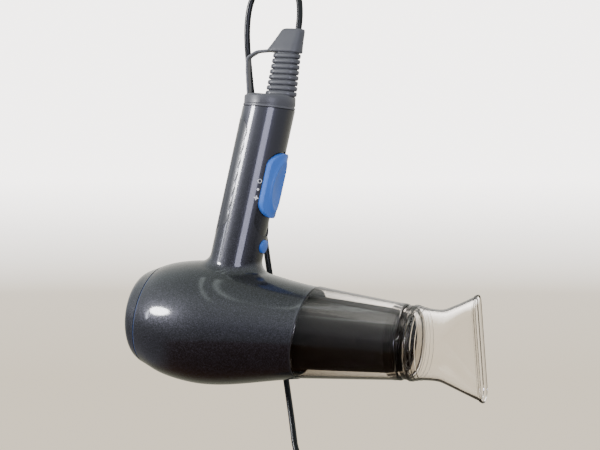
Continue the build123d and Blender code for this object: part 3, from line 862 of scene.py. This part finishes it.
def hand_over(obj: Piece, body: Body, slot: str, finish: Finish, *replaced: str,
              where: Matrix | None = None, angle: float | None = None) -> None:
    """Put a finished piece in its place, and give it its body and material.

    Args:
        obj: The piece.
        body: The body that it rides on.
        slot: The record's material slot; not used.
        finish: Its finish.
        *replaced: The CAD nodes that it stands for.
        where: The frame that it was modelled in, unless it is in place.
        angle: Edges sharper than this many degrees stay crisp.
    """
    if where is not None:
        place(obj, where)
    if angle is not None:
        smooth(obj, angle)
    obj.data.materials.clear()
    obj.data.materials.append(material_of(finish))
    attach(obj, body.value)
    if replaced:
        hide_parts(*replaced)
    log.info("%s rides on %s", obj.name, body.value)


def dress(finish: Finish, *nodes: str) -> None:
    """Give CAD nodes that keep their shape a better material.

    Args:
        finish: Their finish.
        *nodes: Their names.
    """
    for node in nodes:
        for slot in frame["nodes"][node].material_slots:
            slot.material = material_of(finish)
        log.info("dressed %s", node)


@dataclass
class Housing:
    """The two shells of the barrel and grip, the rear cover and the seam rings."""

    shade_angle: float = 28.0

    def build(self) -> None:
        """Dress the shells and what is set into them."""
        bodies = {"housing_right": Body.DRYER, "housing_left": Body.DRYER, "rear_cover": Body.COVER}
        for node, body in bodies.items():
            hand_over(polished_copy(node), body, "gunmetal", GUNMETAL, node, angle=self.shade_angle)
        dress(TRIM_BLUE, "rear_trim_ring")
        dress(TUBE_DARK, "seam_ring")
        dress(MESH, "intake_filter")
        dress(SCREW_ZINC, "housing_screws")


@dataclass
class FrontEnd:
    """The clear sleeve, the dark tube inside it and the grille, all in millimetres.

    Attributes:
        seam_at: Where the sleeve starts, along the barrel.
        seam_slant: Degrees that its start leans forward at the top.
        lip_at: Its front edge.
        bead: How far the lip stands proud.
        tube: The tube's outline, as places along the barrel and radii.
        collar: The outline of the collar round the grille.
        grille_depths: The back, the shoulder and the front of the grille's rings.
        grille_rings: Their radii and half their widths.
        swept_from: From where outward a spoke is swept aside.
    """

    seam_at: float = 68.0
    seam_slant: float = 8.5
    seam_radius: float = 32.6
    lip_at: float = 138.0
    lip_radius: float = 25.7
    wall: float = 2.0
    bead: float = 0.45
    tube: tuple = (
        (58.0, 25.0), (134.0, 19.8), (134.2, 20.9), (133.8, 21.3), (60.0, 26.46), (60.0, 31.0), (58.0, 31.0))
    collar: tuple = ((126.0, 19.9), (139.0, 19.9), (140.0, 19.4), (140.2, 18.2), (139.4, 17.6), (126.0, 18.2))
    grille_depths: tuple = (134.0, 138.6, 139.0)
    grille_chamfer: float = 0.3
    grille_rings: tuple = ((13.2, 0.8), (7.6, 0.8), (3.2, 2.9))
    spokes: int = 9
    spoke_middle: tuple = (10.6, 0.0, 136.8)
    spoke_size: tuple = (15.6, 1.1, 5.0)
    spoke_round: float = 0.35
    swept_from: float = 12.0
    sweep: float = 3.2

    def radius(self, along: float) -> float:
        """The sleeve's outside radius at a place along the barrel."""
        share = (along - self.seam_at) / (self.lip_at - self.seam_at)
        return self.seam_radius + share * (self.lip_radius - self.seam_radius)

    def sleeve(self) -> Piece:
        """Make the clear sleeve with its beaded lip and its slanted start.

        Returns:
            The sleeve, about the z axis.
        """
        lip, out, bore = self.lip_at, self.lip_radius, self.lip_radius - self.wall
        stations = in_mm((
            (self.seam_at, self.seam_radius),
            (lip - 6.0, self.radius(lip - 6.0)), (lip - 5.0, self.radius(lip - 5.0) + 0.5 * self.bead),
            (lip - 3.8, out + self.bead), (lip - 1.2, out + self.bead), (lip - 0.4, out + 0.1),
            (lip, out - 0.6), (lip - 0.1, bore + 0.5), (lip - 0.5, bore + 0.02),
            (self.seam_at, self.seam_radius - self.wall),
        ))
        sleeve = pull_rings("clear_sleeve_shell", stations, sides=144, closed=True)
        slant = math.radians(self.seam_slant)
        seam = Vector((0, 0, stations[0][0]))
        with editing(sleeve):
            pick("verts", lambda vert: vert.co.z < seam.z + 0.1 * MM)
            bpy.ops.transform.rotate(value=-slant, orient_axis="X", center_override=seam)
            bpy.ops.transform.resize(value=(1, 1 / math.cos(slant), 1), center_override=seam)
        return sleeve

    def grille(self) -> Piece:
        """Make the outlet grille: a collar, thin rings inside it and swept spokes.

        Returns:
            The grille, about the z axis.
        """
        parts = [pull_rings("outlet_collar", in_mm(self.collar), sides=96, closed=True)]
        back, shoulder, front = self.grille_depths
        for radius, half in self.grille_rings:
            edge = half - self.grille_chamfer
            outline = ((back, radius + half), (shoulder, radius + half), (front, radius + edge),
                       (front, radius - edge), (shoulder, radius - half), (back, radius - half))
            parts.append(pull_rings("outlet_ring", in_mm(outline), sides=64, closed=True))
        middle, size = in_mm((self.spoke_middle, self.spoke_size))
        for number in range(self.spokes):
            select_only()
            bpy.ops.mesh.primitive_cube_add(size=1, location=middle, scale=size)
            spoke = newest("outlet_spoke")
            place(spoke, Matrix.Identity(4))
            soften_edges(spoke, self.spoke_round * MM, 2, 60)
            with editing(spoke):
                pick("verts", lambda vert: vert.co.x > self.swept_from * MM)
                bpy.ops.transform.translate(value=(0, self.sweep * MM, 0))
            place(spoke, Matrix.Rotation(math.tau * number / self.spokes, 4, "Z"))
            parts.append(spoke)
        return join("outlet_grille_moulding", *parts)

    def build(self) -> None:
        """Make the sleeve, the tube and the grille."""
        barrel = FRAMES.barrel()
        hand_over(self.sleeve(), Body.DRYER, "clear", CLEAR, "clear_sleeve", where=barrel, angle=40)
        tube = pull_rings("hot_air_tube", in_mm(self.tube), sides=144, closed=True)
        hand_over(tube, Body.DRYER, "dark_plastic", TUBE_DARK, "front_tube", where=barrel, angle=40)
        hand_over(self.grille(), Body.DRYER, "dark_plastic", GRILLE_DARK, "outlet_grille",
                  where=barrel, angle=35)


@dataclass
class FishtailNozzle:
    """The clear nozzle and the ring that it turns on, in millimetres.

    Attributes:
        roll: Degrees that the mouth is turned about the barrel.
        tip_back: Degrees that the mouth's upper end lies further back.
        tip_middle: Where along the barrel it is tipped about.
        tipped_from: From where along the barrel it is tipped.
        stations: For each, its place along the barrel, its width and its length.
        ring: The ring's outline, as places along the barrel and radii.
    """

    roll: float = 20.0
    tip_back: float = 2.4
    tip_middle: float = 188.0
    tipped_from: float = 170.0
    wall: float = 1.5
    stations: tuple = (
        (138.9, 44.8, 44.8), (142.8, 44.8, 44.8), (143.1, 51.4, 51.6), (143.6, 52.0, 52.0), (145.6, 51.2, 51.7),
        (145.9, 49.6, 50.9), (148.2, 47.8, 50.6), (148.5, 46.6, 50.0), (151.0, 44.9, 49.7), (151.3, 43.9, 49.2),
        (157.0, 40.6, 48.8), (160.5, 38.2, 49.0), (163.5, 35.8, 50.0), (167.0, 33.0, 53.0), (178.0, 23.6, 64.5),
        (187.2, 16.2, 74.6), (187.6, 17.4, 76.2), (189.2, 17.2, 77.6), (190.0, 16.0, 77.2),
    )
    ring: tuple = (
        (129.2, 22.5), (142.3, 22.5), (142.6, 22.8), (142.6, 24.7), (142.2, 25.2), (138.9, 25.2),
        (138.4, 24.8), (138.4, 23.6), (129.5, 23.6), (129.2, 23.3),
    )

    def build(self) -> None:
        """Make the nozzle and its ring."""
        stations = [(*row, 0.0) for row in in_mm(self.stations)]
        beak = pull_flat_rounds("fishtail_nozzle", stations, sides=96)
        with editing(beak):
            pick("verts", lambda vert: vert.co.z > self.tipped_from * MM)
            bpy.ops.transform.rotate(value=-math.radians(self.tip_back), orient_axis="Y",
                                     center_override=(0, 0, self.tip_middle * MM))
        modify(beak, "SOLIDIFY", thickness=self.wall * MM, offset=-1.0, use_even_offset=True)
        face_outward(beak)
        turn = turn_by(90 + self.roll, "Z")
        hand_over(beak, Body.NOZZLE, "clear", CLEAR, "nozzle", where=FRAMES.barrel() @ turn, angle=32)
        ring = pull_rings("swivel_ring", in_mm(self.ring), sides=128, closed=True)
        hand_over(ring, Body.RING, "clear", CLEAR_SMOKE, "nozzle_ring", where=FRAMES.barrel(), angle=40)


@dataclass
class Controls:
    """The slider with its dish, the cool-shot button and the printed marks.

    Attributes:
        knob_middle: The slider's middle, up the grip.
        dish_height: From the dish's middle to the crest of its rim, along the grip.
        dish_width: The same, round the grip.
        rim: How far the rim stands up.
        rim_width: How wide it is, as a share of the dish.
        dish_depth: How deep the dish is, as a share of the rim.
        face_depth: How far below the grip's surface the slider's face goes.
        mark_turn: Degrees round the grip, from its front, to the marks.
        mark_heights: Where the ring, the dot and the flower are, up the grip.
        petal_out: How far a petal's middle is from the flower's.
    """

    knob_middle: float = 105.75 * MM
    dish_height: float = 17.5 * MM
    dish_width: float = 8.4 * MM
    rim: float = 0.9 * MM
    rim_width: float = 0.15
    dish_depth: float = 0.55
    face_depth: float = 2.5 * MM
    mark_turn: float = -52.0
    mark_heights: tuple = (107.0, 101.0, 95.0)
    mark_depth: float = 0.16 * MM
    petal: float = 0.62 * MM
    petal_out: float = 0.92 * MM
    petal_stretch: tuple = (1.25, 0.8)
    grip_radius: float = 18.5 * MM

    def on_rim(self, where: Vector) -> float:
        """Tell how much of the dish's rim a point is on.

        Args:
            where: The point, at rest.

        Returns:
            The share, from 1 on the rim to less than 0 in the dish.
        """
        local = FRAMES.grip().inverted() @ where
        if local.x < self.grip_radius - self.face_depth:
            return 0.0
        from_middle = math.hypot(local.y / self.dish_width, (local.z - self.knob_middle) / self.dish_height)
        away = (from_middle - 1) / self.rim_width
        return math.exp(-away * away) - self.dish_depth * max(0.0, 1 - from_middle * from_middle)

    def slider(self) -> None:
        """Soften the slider and the button, and raise the rim of the slider's dish."""
        knob = soft_moulding("slide_knob", 0.36 * MM, 6)
        raise_where(knob, self.rim, self.on_rim)
        hand_over(knob, Body.SLIDER, "blue_plastic", CONTROL_BLUE, "slide_knob", angle=60)
        button = polished_copy("cool_button")
        soften_edges(button, 0.7 * MM, 4, 40)
        hand_over(button, Body.BUTTON, "blue_plastic", CONTROL_BLUE, "cool_button", angle=40)
        dress(PLUG_BLACK, "slide_carrier")
        dress(GUNMETAL, "slide_track")

    def disc(self, name: str, radius: float, bore: float = 0.0) -> Piece:
        """Make a thin printed disc or ring about the origin.

        Args:
            name: Its name.
            radius: Its radius.
            bore: The radius of its hole, if it is a ring.

        Returns:
            The disc.
        """
        select_only()
        bpy.ops.mesh.primitive_circle_add(vertices=40, radius=radius, fill_type="NGON")
        disc = newest(name)
        if bore:
            with editing(disc):
                pick_all()
                bpy.ops.mesh.inset(thickness=radius - bore)
                bpy.ops.mesh.delete(type="FACE")
        modify(disc, "SOLIDIFY", thickness=self.mark_depth, offset=0.0)
        face_outward(disc)
        return disc

    def flower(self) -> Piece:
        """Make the four-petal mark."""
        petals = []
        out = Matrix.Translation((self.petal_out, 0, 0)) @ Matrix.Diagonal((*self.petal_stretch, 1, 1))
        for number in range(4):
            petal = self.disc("mark_petal", self.petal)
            place(petal, turn_by(90 * number, "Z") @ out)
            petals.append(petal)
        return join("mark_flower", *petals)

    def marks(self) -> None:
        """Print the three marks beside the slider."""
        marks = (self.disc("mark_ring", 1.55 * MM, 1.15 * MM), self.disc("mark_dot", 0.9 * MM), self.flower())
        turn = turn_by(self.mark_turn, "Z")
        lay = turn_by(90, "Y")
        for mark, height in zip(marks, self.mark_heights):
            where = FRAMES.grip() @ turn @ Matrix.Translation((self.grip_radius, 0, height * MM)) @ lay
            hand_over(mark, Body.DRYER, "gunmetal", PRINT_WHITE, where=where)

    def spring(self) -> None:
        """Make a smooth copy of the button's spring in spring steel, fixed to the dryer."""
        spring = polished_copy("cool_spring")
        inward = FRAMES.grip().to_3x3() @ Vector((-1, 0, 0))
        depths = [vert.co.dot(inward) for vert in spring.data.vertices]
        seat = spring.data.vertices[depths.index(max(depths))].co
        hand_over(spring, Body.DRYER, "spring_steel", SPRING_STEEL, "cool_spring", angle=40)
        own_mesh(spring)

    def build(self) -> None:
        """Make the controls and the marks."""
        self.slider()
        self.spring()
        self.marks()


@dataclass
class GripEnd:
    """The soft back panel, the end cap, the ribbed strain relief and the loop.

    Attributes:
        cap: The cap's outline, as heights and radii in millimetres.
        pitch: How far apart the ribs are.
        foot: The lowest rib's length and width.
        head: The highest rib's length and width.
        depth: How deep the gaps between the ribs are.
        cap_level: Degrees that the cap is nearer level than the grip's end.
        rib_level: Degrees that the ribs are nearer level than square to the strain relief.
        strap_narrow: The loop strap's width as a share of its stock.
        neck: Heights at which the relief's neck starts and meets the tip.
        rib_edge: A rib's edge, as distances from its face and how far it is cut in there.
        skirt: Above this height and outside this radius the cap is nearer level.
        cap_middle: The height that it is turned about.
        tip: The strain relief's tip, as stations in millimetres.
    """

    cap: tuple = (
        (6.1, 0.4), (6.1, 15.9), (0.3, 15.9), (0.35, 18.1), (0.7, 18.5), (1.9, 18.5), (2.2, 18.0), (2.5, 17.95),
        (2.8, 18.25), (7.7, 18.2), (8.6, 17.9), (9.2, 17.0), (9.4, 15.8), (9.45, 0.4),
    )
    ribs: int = 8
    pitch: float = 3.8
    rib_height: float = 3.15
    foot: tuple = (22.9, 14.0)
    head: tuple = (20.2, 12.0)
    depth: float = 2.0
    cap_level: float = 3.0
    rib_level: float = 4.5
    strap_narrow: float = 0.65
    neck: tuple = (-1.0, 31.5)
    rib_edge: tuple = ((0.0, 4.0), (0.02, 1.4), (0.3, 0.5), (0.85, 0.0))
    skirt: tuple = (2.6, 16.0)
    cap_middle: float = 6.0
    tip: tuple = (
        (31.6, 12.0, 24.6, -1.7), (32.1, 13.0, 26.6, -2.4), (33.2, 13.0, 26.0, -2.2), (36.0, 12.3, 23.9, -1.35),
        (40.0, 11.0, 21.3, -0.15), (46.4, 9.2, 17.6, 1.7), (47.8, 8.4, 16.3, 2.1), (48.3, 6.8, 13.8, 2.6),
        (48.4, 4.9, 9.0, 3.8), (47.0, 4.9, 8.0, 4.2),
    )

    def relief_stations(self) -> list[tuple[float, float, float, float]]:
        """Work out the strain relief's outline from rib to rib.

        Returns:
            Stations for pull_flat_rounds.
        """
        lowest = self.foot[1] - self.depth, self.foot[0] - self.depth
        stations = [(self.neck[0], *lowest, 0.0)]
        for rib in range(self.ribs):
            share = rib / (self.ribs - 1)
            length, width = (a + share * (b - a) for a, b in zip(self.foot, self.head))
            low = 1.0 + rib * self.pitch
            outline = [(low + rise, cut) for rise, cut in self.rib_edge]
            outline += [(low + self.rib_height - rise, cut) for rise, cut in reversed(self.rib_edge)]
            stations += [(height, width - cut, length - cut, 0.0) for height, cut in outline]
        width, length = self.head[1] - 2 * self.depth, self.head[0] - 2 * self.depth
        stations.append((self.neck[1], width, length, 0.0))
        stations += self.tip
        lean = math.tan(math.radians(self.rib_level))
        return in_mm((up, width, length, shift + lean * up) for up, width, length, shift in stations)

    def build(self) -> None:
        """Make the grip's end pieces."""
        panel = polished_copy("grip_panel")
        soften_edges(panel, 0.3 * MM, 3, 40)
        hand_over(panel, Body.DRYER, "grip_rubber", SOFT_GRIP, "grip_panel", angle=40)
        cap = pull_rings("end_cap_moulding", in_mm(self.cap), sides=96, capped=True)
        low, inner = (value * MM for value in self.skirt)
        with editing(cap):
            pick("verts", lambda vert: vert.co.z > low and vert.co.xy.length > inner)
            bpy.ops.transform.rotate(value=math.radians(self.cap_level), orient_axis="Y",
                                     center_override=(0, 0, self.cap_middle * MM))
        hand_over(cap, Body.DRYER, "dark_plastic", MATTE_DARK, "end_cap", where=FRAMES.cap(), angle=40)
        relief = pull_flat_rounds("ribbed_relief", self.relief_stations(), sides=64, capped=True)
        level = turn_by(-self.rib_level, "Y")
        hand_over(relief, Body.DRYER, "soft_black", RELIEF_VINYL, "strain_relief",
                  where=FRAMES.relief() @ level, angle=50)
        strap = soft_moulding("hanging_loop", 0.3 * MM, 8)
        with editing(strap):
            pick_all()
            bpy.ops.transform.resize(value=(1, self.strap_narrow, 1), center_override=(0, 0, 0))
        hand_over(strap, Body.DRYER, "soft_black", RELIEF_VINYL, "hanging_loop", angle=60)


@dataclass
class MainsLead:
    """The cord from the strain relief over the hook to its coil, and its plug.

    Attributes:
        route: The points of its free run, in millimetres.
        coil_radius: From the coil's middle to the middle of its turns.
        pitch: How far apart turns lie.
        layers: Layers of turns, side by side.
        start_turn: Degrees from the coil's top to where the winding starts.
        end_turn: Degrees to where it ends.
        change_turn: Degrees over which the cord moves to the next layer.
        points_per_turn: Points in one turn.
        corner: How far above and below the coil's middle the cord turns in and out.
        plug_depths: How far inside the plug's relief the cord's last two points are.
    """

    diameter: float = 4.6 * MM
    length: float = 1.8
    route: tuple = (
        (29.6, 0.0, 11.0), (30.4, 0.0, 15.4), (31.4, 0.4, 26.8), (29.8, 1.6, 39.2), (22.2, 3.4, 49.7),
        (9.9, 5.2, 53.7), (-2.4, 6.8, 49.7), (-10.1, 8.2, 39.2), (-13.4, 9.2, 24.5), (-14.2, 10.8, 7.0),
        (-13.0, 16.0, -27.0), (-11.5, 26.0, -70.0), (-14.0, 36.5, -114.0), (-11.6, 44.5, -156.0),
        (-6.0, 49.8, -198.0), (2.5, 45.0, -240.0), (12.0, 34.0, -270.0),
    )
    coil_radius: float = 25.7 * MM
    pitch: float = 4.9 * MM
    layers: int = 4
    start_turn: float = 45.0
    end_turn: float = 8 * 360 + 135.0
    change_turn: float = 120.0
    points_per_turn: int = 16
    corner: float = 44.0 * MM
    plug_depths: tuple = (12.0 * MM, 20.0 * MM)

    def layer_turn(self) -> float:
        """Degrees that the cord winds in one layer."""
        changes = self.change_turn * (self.layers - 1)
        return (self.end_turn - self.start_turn - changes) / self.layers

    def lie_at(self, turned: float) -> tuple[float, float]:
        """Find where in the bundle the cord lies after some winding.

        The layers spiral inward and outward by turns, and between two of them the cord moves across.

        Args:
            turned: Degrees wound since the top.

        Returns:
            How far outward from the middle radius, and how far across from the middle.
        """
        layer_turn = self.layer_turn()
        layer, along = divmod(turned - self.start_turn, layer_turn + self.change_turn)
        if layer >= self.layers - 1:
            layer = self.layers - 1
            along = turned - self.start_turn - layer * (layer_turn + self.change_turn)
        wound = min(1.0, along / layer_turn)
        outward = 1 - wound if layer % 2 == 0 else wound
        moved = max(0.0, along - layer_turn) / self.change_turn
        moved = moved * moved * (3 - 2 * moved)
        reach = layer_turn / 360 * self.pitch
        return reach * (outward - 0.5), (layer + moved - (self.layers - 1) / 2) * self.pitch

    def coil_points(self, centre: Vector) -> list[Vector]:
        """Work out the coil's control points.

        Args:
            centre: The coil's middle.

        Returns:
            Points from where the cord joins the coil to where it leaves.
        """
        points = []
        step = 360 / self.points_per_turn
        count = round((self.end_turn - self.start_turn) / step)
        widen = 1 / math.cos(math.radians(step / 2))
        for number in range(count + 1):
            turned = self.start_turn + number * (self.end_turn - self.start_turn) / count
            outward, across = self.lie_at(turned)
            radius = (self.coil_radius + outward) * widen
            angle = math.radians(turned)
            points.append(centre + Vector((math.sin(angle) * radius, across, math.cos(angle) * radius)))
        return points

    def build(self) -> None:
        """Lay the cord and dress its plug."""
        low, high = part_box("cord_coil")
        centre = (low + high) / 2
        plug_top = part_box("plug_relief")[1].z
        lean = Vector((0, 0.75 * self.pitch, 0))
        points = [Vector(point) * MM for point in self.route]
        points.append(centre - lean + Vector((0, 0, self.corner)))
        points += self.coil_points(centre)
        points.append(centre + lean - Vector((0, 0, self.corner)))
        points += [Vector((centre.x, centre.y, plug_top - depth)) for depth in self.plug_depths]
        curve = bpy.data.curves.new("mains_cord", "CURVE")
        curve.dimensions = "3D"
        spline = curve.splines.new("NURBS")
        spline.points.add(len(points) - 1)
        for target, point in zip(spline.points, points):
            target.co = (*point, 1)
        spline.order_u = 3
        spline.use_endpoint_u = True
        spline.resolution_u = 6
        curve.bevel_depth = self.diameter / 2
        curve.bevel_resolution = 4
        curve.use_fill_caps = True
        cord = bpy.data.objects.new("mains_cord", curve)
        hang(cord)
        hand_over(cord, Body.DRYER, "cord_black", CORD_BLACK, "power_cord", "cord_coil", "cord_tail")
        dress(TIE_TAPE, "coil_tie")
        dress(PLUG_BLACK, "plug_relief", "plug_body")
        dress(NICKEL, "plug_pins")


@dataclass
class Works:
    """What is inside: motor, fan, heater, switches and wiring."""

    finishes: tuple = (
        (INNER_CREAM, ("fan_impeller", "fan_duct", "motor_end_bell", "ion_module", "switch_body",
                       "cool_switch", "cord_clamp")),
        (PLUG_BLACK, ("rectifier_diodes",)),
        (MOTOR_STEEL, ("motor_can", "motor_shaft", "thermostat", "thermal_fuse", "ion_needle")),
        (BOARD_GREEN, ("rectifier_board", "circuit_board")),
        (MICA, ("heater_cross", "heater_tube")),
        (HEATING_WIRE, ("heater_coils",)),
        (BRASS, ("switch_terminals",)),
        (FILM_AMBER, ("capacitor",)),
        (WIRE_RED, ("inner_wires",)),
        (SCREW_ZINC, ("clamp_screws",)),
    )

    def build(self) -> None:
        """Dress every inner node."""
        for finish, nodes in self.finishes:
            dress(finish, *nodes)


@dataclass
class Studio:
    """A pale round room, soft lamps and the camera.

    Attributes:
        view_turn: Degrees that the camera stands round toward the outlet.
        distance: From the camera to the hook, along the view.
        hook_off: How far the hook is from the middle of the view, to the right and up, at 1 m.
        wall_tones: The wall's tones, from the floor to the top.
        wall_power: How brightly the wall shines.
        dimming: How much less of it is seen by light that has turned on a surface.
        surround_tones: Tones of the surround that only gloss shows, from bottom to top: painted reflections of
            a dark brown floor below and pale walls above.
        beside: Its tone low down on the left, a painted darker reflection there.
        behind_tones: Its tones behind the dryer, painted reflections of a pale wall.
        strips: Bright strips in it that paint glints on the gloss: place, slope and foot of each.
        middle: What the lamps point at.
        lamp_rows: Name, place, width and height, watts and colour of each lamp.
    """

    view_turn: float = 22.0
    distance: float = 0.852
    focal: float = 72.0
    sensor: float = 36.0
    hook_off: tuple = (-0.0341667, 0.1433333)
    room_radius: float = 3.2
    room_heights: tuple = (-0.62, 2.6)
    wall_tones: tuple = (
        (0.0, (0.25, 0.218, 0.172)),
        (0.085, (0.28, 0.25, 0.205)),
        (0.145, (0.60, 0.57, 0.54)),
        (0.2, (1.0, 0.955, 0.93)),
    )
    wall_power: float = 4.7
    dimming: float = 0.95
    surround_size: float = 2.4
    surround_tones: tuple = (
        (0.0, (0.07, 0.028, 0.009)),
        (0.235, (0.11, 0.045, 0.016)),
        (0.265, (0.25, 0.25, 0.26)),
        (0.46, (0.36, 0.38, 0.42)),
        (0.56, (0.66, 0.70, 0.77)),
        (0.8, (1.0, 1.08, 1.1)),
        (0.97, (0.68, 0.76, 0.72)),
        (1.0, (0.56, 0.62, 0.56)),
    )
    beside: Colour = (0.26, 0.26, 0.29)
    behind_tones: tuple = (
        (0.0, (0.14, 0.14, 0.10)),
        (0.4, (0.45, 0.44, 0.36)),
        (0.6, (1.2, 1.18, 1.1)),
        (1.0, (0.7, 0.75, 0.7)),
    )
    strips: tuple = ((0.199, 0.55, 0.62), (0.584, 0.8, 0.74))
    # how brightly the painted glint strips glow
    strip: Colour = (2.6, 2.9, 2.8)
    middle: tuple = (0.0, 0.0, -0.15)
    lamp_rows: tuple = (
        ("key_window", (-1.05, -0.97, 0.21), (0.42, 0.30), 24.0, (0.97, 0.97, 1.0)),
        ("tall_window", (-1.36, -0.86, 0.04), (0.10, 0.36), 1.3, (0.84, 0.86, 1.0)),
        ("front_window", (0.93, -1.54, -0.28), (0.8, 0.95), 15.0, (0.76, 0.76, 1.0)),
        ("top_soft", (0.3, -0.4, 1.5), (1.6, 1.2), 12.0, (1.0, 1.0, 0.98)),
    )

    def build(self) -> None:
        """Set up the room, the lamps and the camera."""
        self.room()
        self.surround()
        self.sky()
        for row in self.lamp_rows:
            self.lamp(*row)
        self.camera()

    def glow(self, name: str, power: float) -> Paint:
        """Start a paint that only shines, with a power of light."""
        return new_paint(name, (0, 0, 0), Roughness=1.0, Specular_IOR_Level=0.0, Emission_Strength=power)

    def room(self) -> None:
        """Make the pale round wall and floor."""
        floor, top = self.room_heights
        room = pull_rings("studio_room", ((floor, self.room_radius), (top, self.room_radius)), sides=128)
        with editing(room):
            pick("edges", lambda edge: edge.is_boundary and edge.verts[0].co.z < 0)
            bpy.ops.mesh.edge_face_add()
            pick("faces", lambda face: True)
            bpy.ops.mesh.flip_normals()
        smooth(room, 60)
        paint = self.glow("studio_wall", self.wall_power)
        height = paint.add("SeparateXYZ", Vector=paint.where).outputs["Z"]
        colour = paint.ramp(paint.step(height, floor, top), self.wall_tones)
        path = paint.add("LightPath").outputs
        turned = paint.maths("ADD", path["Diffuse Depth"], path["Glossy Depth"])
        turned = paint.maths("MINIMUM", turned, self.dimming)
        paint.feed("Emission Color", paint.blend(turned, colour, (0, 0, 0)))
        room.data.materials.append(paint.material)
        room.visible_diffuse = room.visible_glossy = False

    def surround(self) -> None:
        """Make what the lacquer's gloss shows of the rest of the studio, as a glowing shell: painted
        reflections of a dark floor, pale walls and lamps.
        """
        select_only()
        bpy.ops.mesh.primitive_uv_sphere_add(segments=48, ring_count=32, radius=1)
        shell = newest("studio_surround")
        with editing(shell):
            pick_all()
            bpy.ops.mesh.flip_normals()
            bpy.ops.transform.resize(value=(self.surround_size,) * 3)
        paint = self.glow("studio_surround", 1.0)
        unit = paint.add("VectorMath", Vector=paint.where)
        unit.operation = "NORMALIZE"
        parts = paint.add("SeparateXYZ", Vector=unit.outputs["Vector"])
        aside, depth, height = (parts.outputs[axis] for axis in "XYZ")
        up = paint.step(height, -1, 1)
        colour = paint.ramp(up, self.surround_tones)
        beside = paint.maths("MINIMUM", paint.clamp(aside, -0.58, -0.68), paint.clamp(height, -0.3, -0.5))
        colour = paint.blend(beside, colour, self.beside)
        colour = paint.blend(paint.clamp(depth, 0.25, 0.6), colour, paint.ramp(up, self.behind_tones))
        # each strip paints a bright glint into the gloss
        for place_at, slope, foot in self.strips:
            line = paint.maths("ADD", aside, paint.maths("MULTIPLY", height, slope))
            near = paint.clamp(paint.maths("ABSOLUTE", paint.maths("SUBTRACT", line, place_at)), 0.03, 0.01)
            strip = paint.maths("MINIMUM", near, paint.clamp(height, foot, foot + 0.1))
            strip = paint.maths("MINIMUM", strip, paint.clamp(depth, 0.1, 0.0))
            colour = paint.blend(strip, colour, self.strip)
        paint.feed("Emission Color", colour)
        shell.data.materials.append(paint.material)
        for sight in ("camera", "diffuse", "transmission", "shadow"):
            setattr(shell, f"visible_{sight}", False)

    def sky(self) -> None:
        """Light everything a little from all round."""
        world = bpy.context.scene.world or bpy.data.worlds.new("studio_sky")
        bpy.context.scene.world = world
        world.use_nodes = True
        sky = world.node_tree.nodes["Background"].inputs
        sky["Color"].default_value = (0.97, 0.98, 1.0, 1)
        sky["Strength"].default_value = 1.0

    def lamp(self, name: str, place_at: tuple, size: tuple, power: float, colour: Colour) -> None:
        """Hang one soft lamp.

        Args:
            name: Its name.
            place_at: Where it hangs.
            size: Its width and height.
            power: Its power in watts.
            colour: Its colour.
        """
        light = bpy.data.lights.new(name, "AREA")
        light.shape = "ELLIPSE"
        light.size, light.size_y = size
        light.energy = power
        light.color = colour
        lamp = bpy.data.objects.new(name, light)
        lamp.location = place_at
        lamp.rotation_euler = (Vector(self.middle) - Vector(place_at)).to_track_quat("-Z", "Y").to_euler()
        lamp.visible_camera = False
        lamp.visible_glossy = name != "top_soft"
        hang(lamp)

    def camera(self) -> None:
        """Set up a level camera that looks in from the outlet's side."""
        turn = math.radians(self.view_turn)
        ahead = Vector((-math.sin(turn), math.cos(turn), 0))
        right = Vector((math.cos(turn), math.sin(turn), 0))
        across, above = self.hook_off
        where = -(ahead + right * across + Vector((0, 0, above))) * self.distance
        data = bpy.data.cameras.new("camera")
        data.lens = self.focal
        data.sensor_width = self.sensor
        data.clip_start = 0.01
        camera = bpy.data.objects.new("camera", data)
        camera.location = where
        camera.rotation_euler = ahead.to_track_quat("-Z", "Y").to_euler()
        hang(camera)
        bpy.context.scene.camera = camera


def main() -> None:
    """Build and dress the whole dryer."""
    logging.basicConfig(level=logging.INFO, format="%(name)s: %(message)s")
    Studio().build()
    for assembly in (MainsLead(), Housing(), FrontEnd(), FishtailNozzle(), Controls(), GripEnd(), Works()):
        assembly.build()


if __name__ == "__main__":
    main()
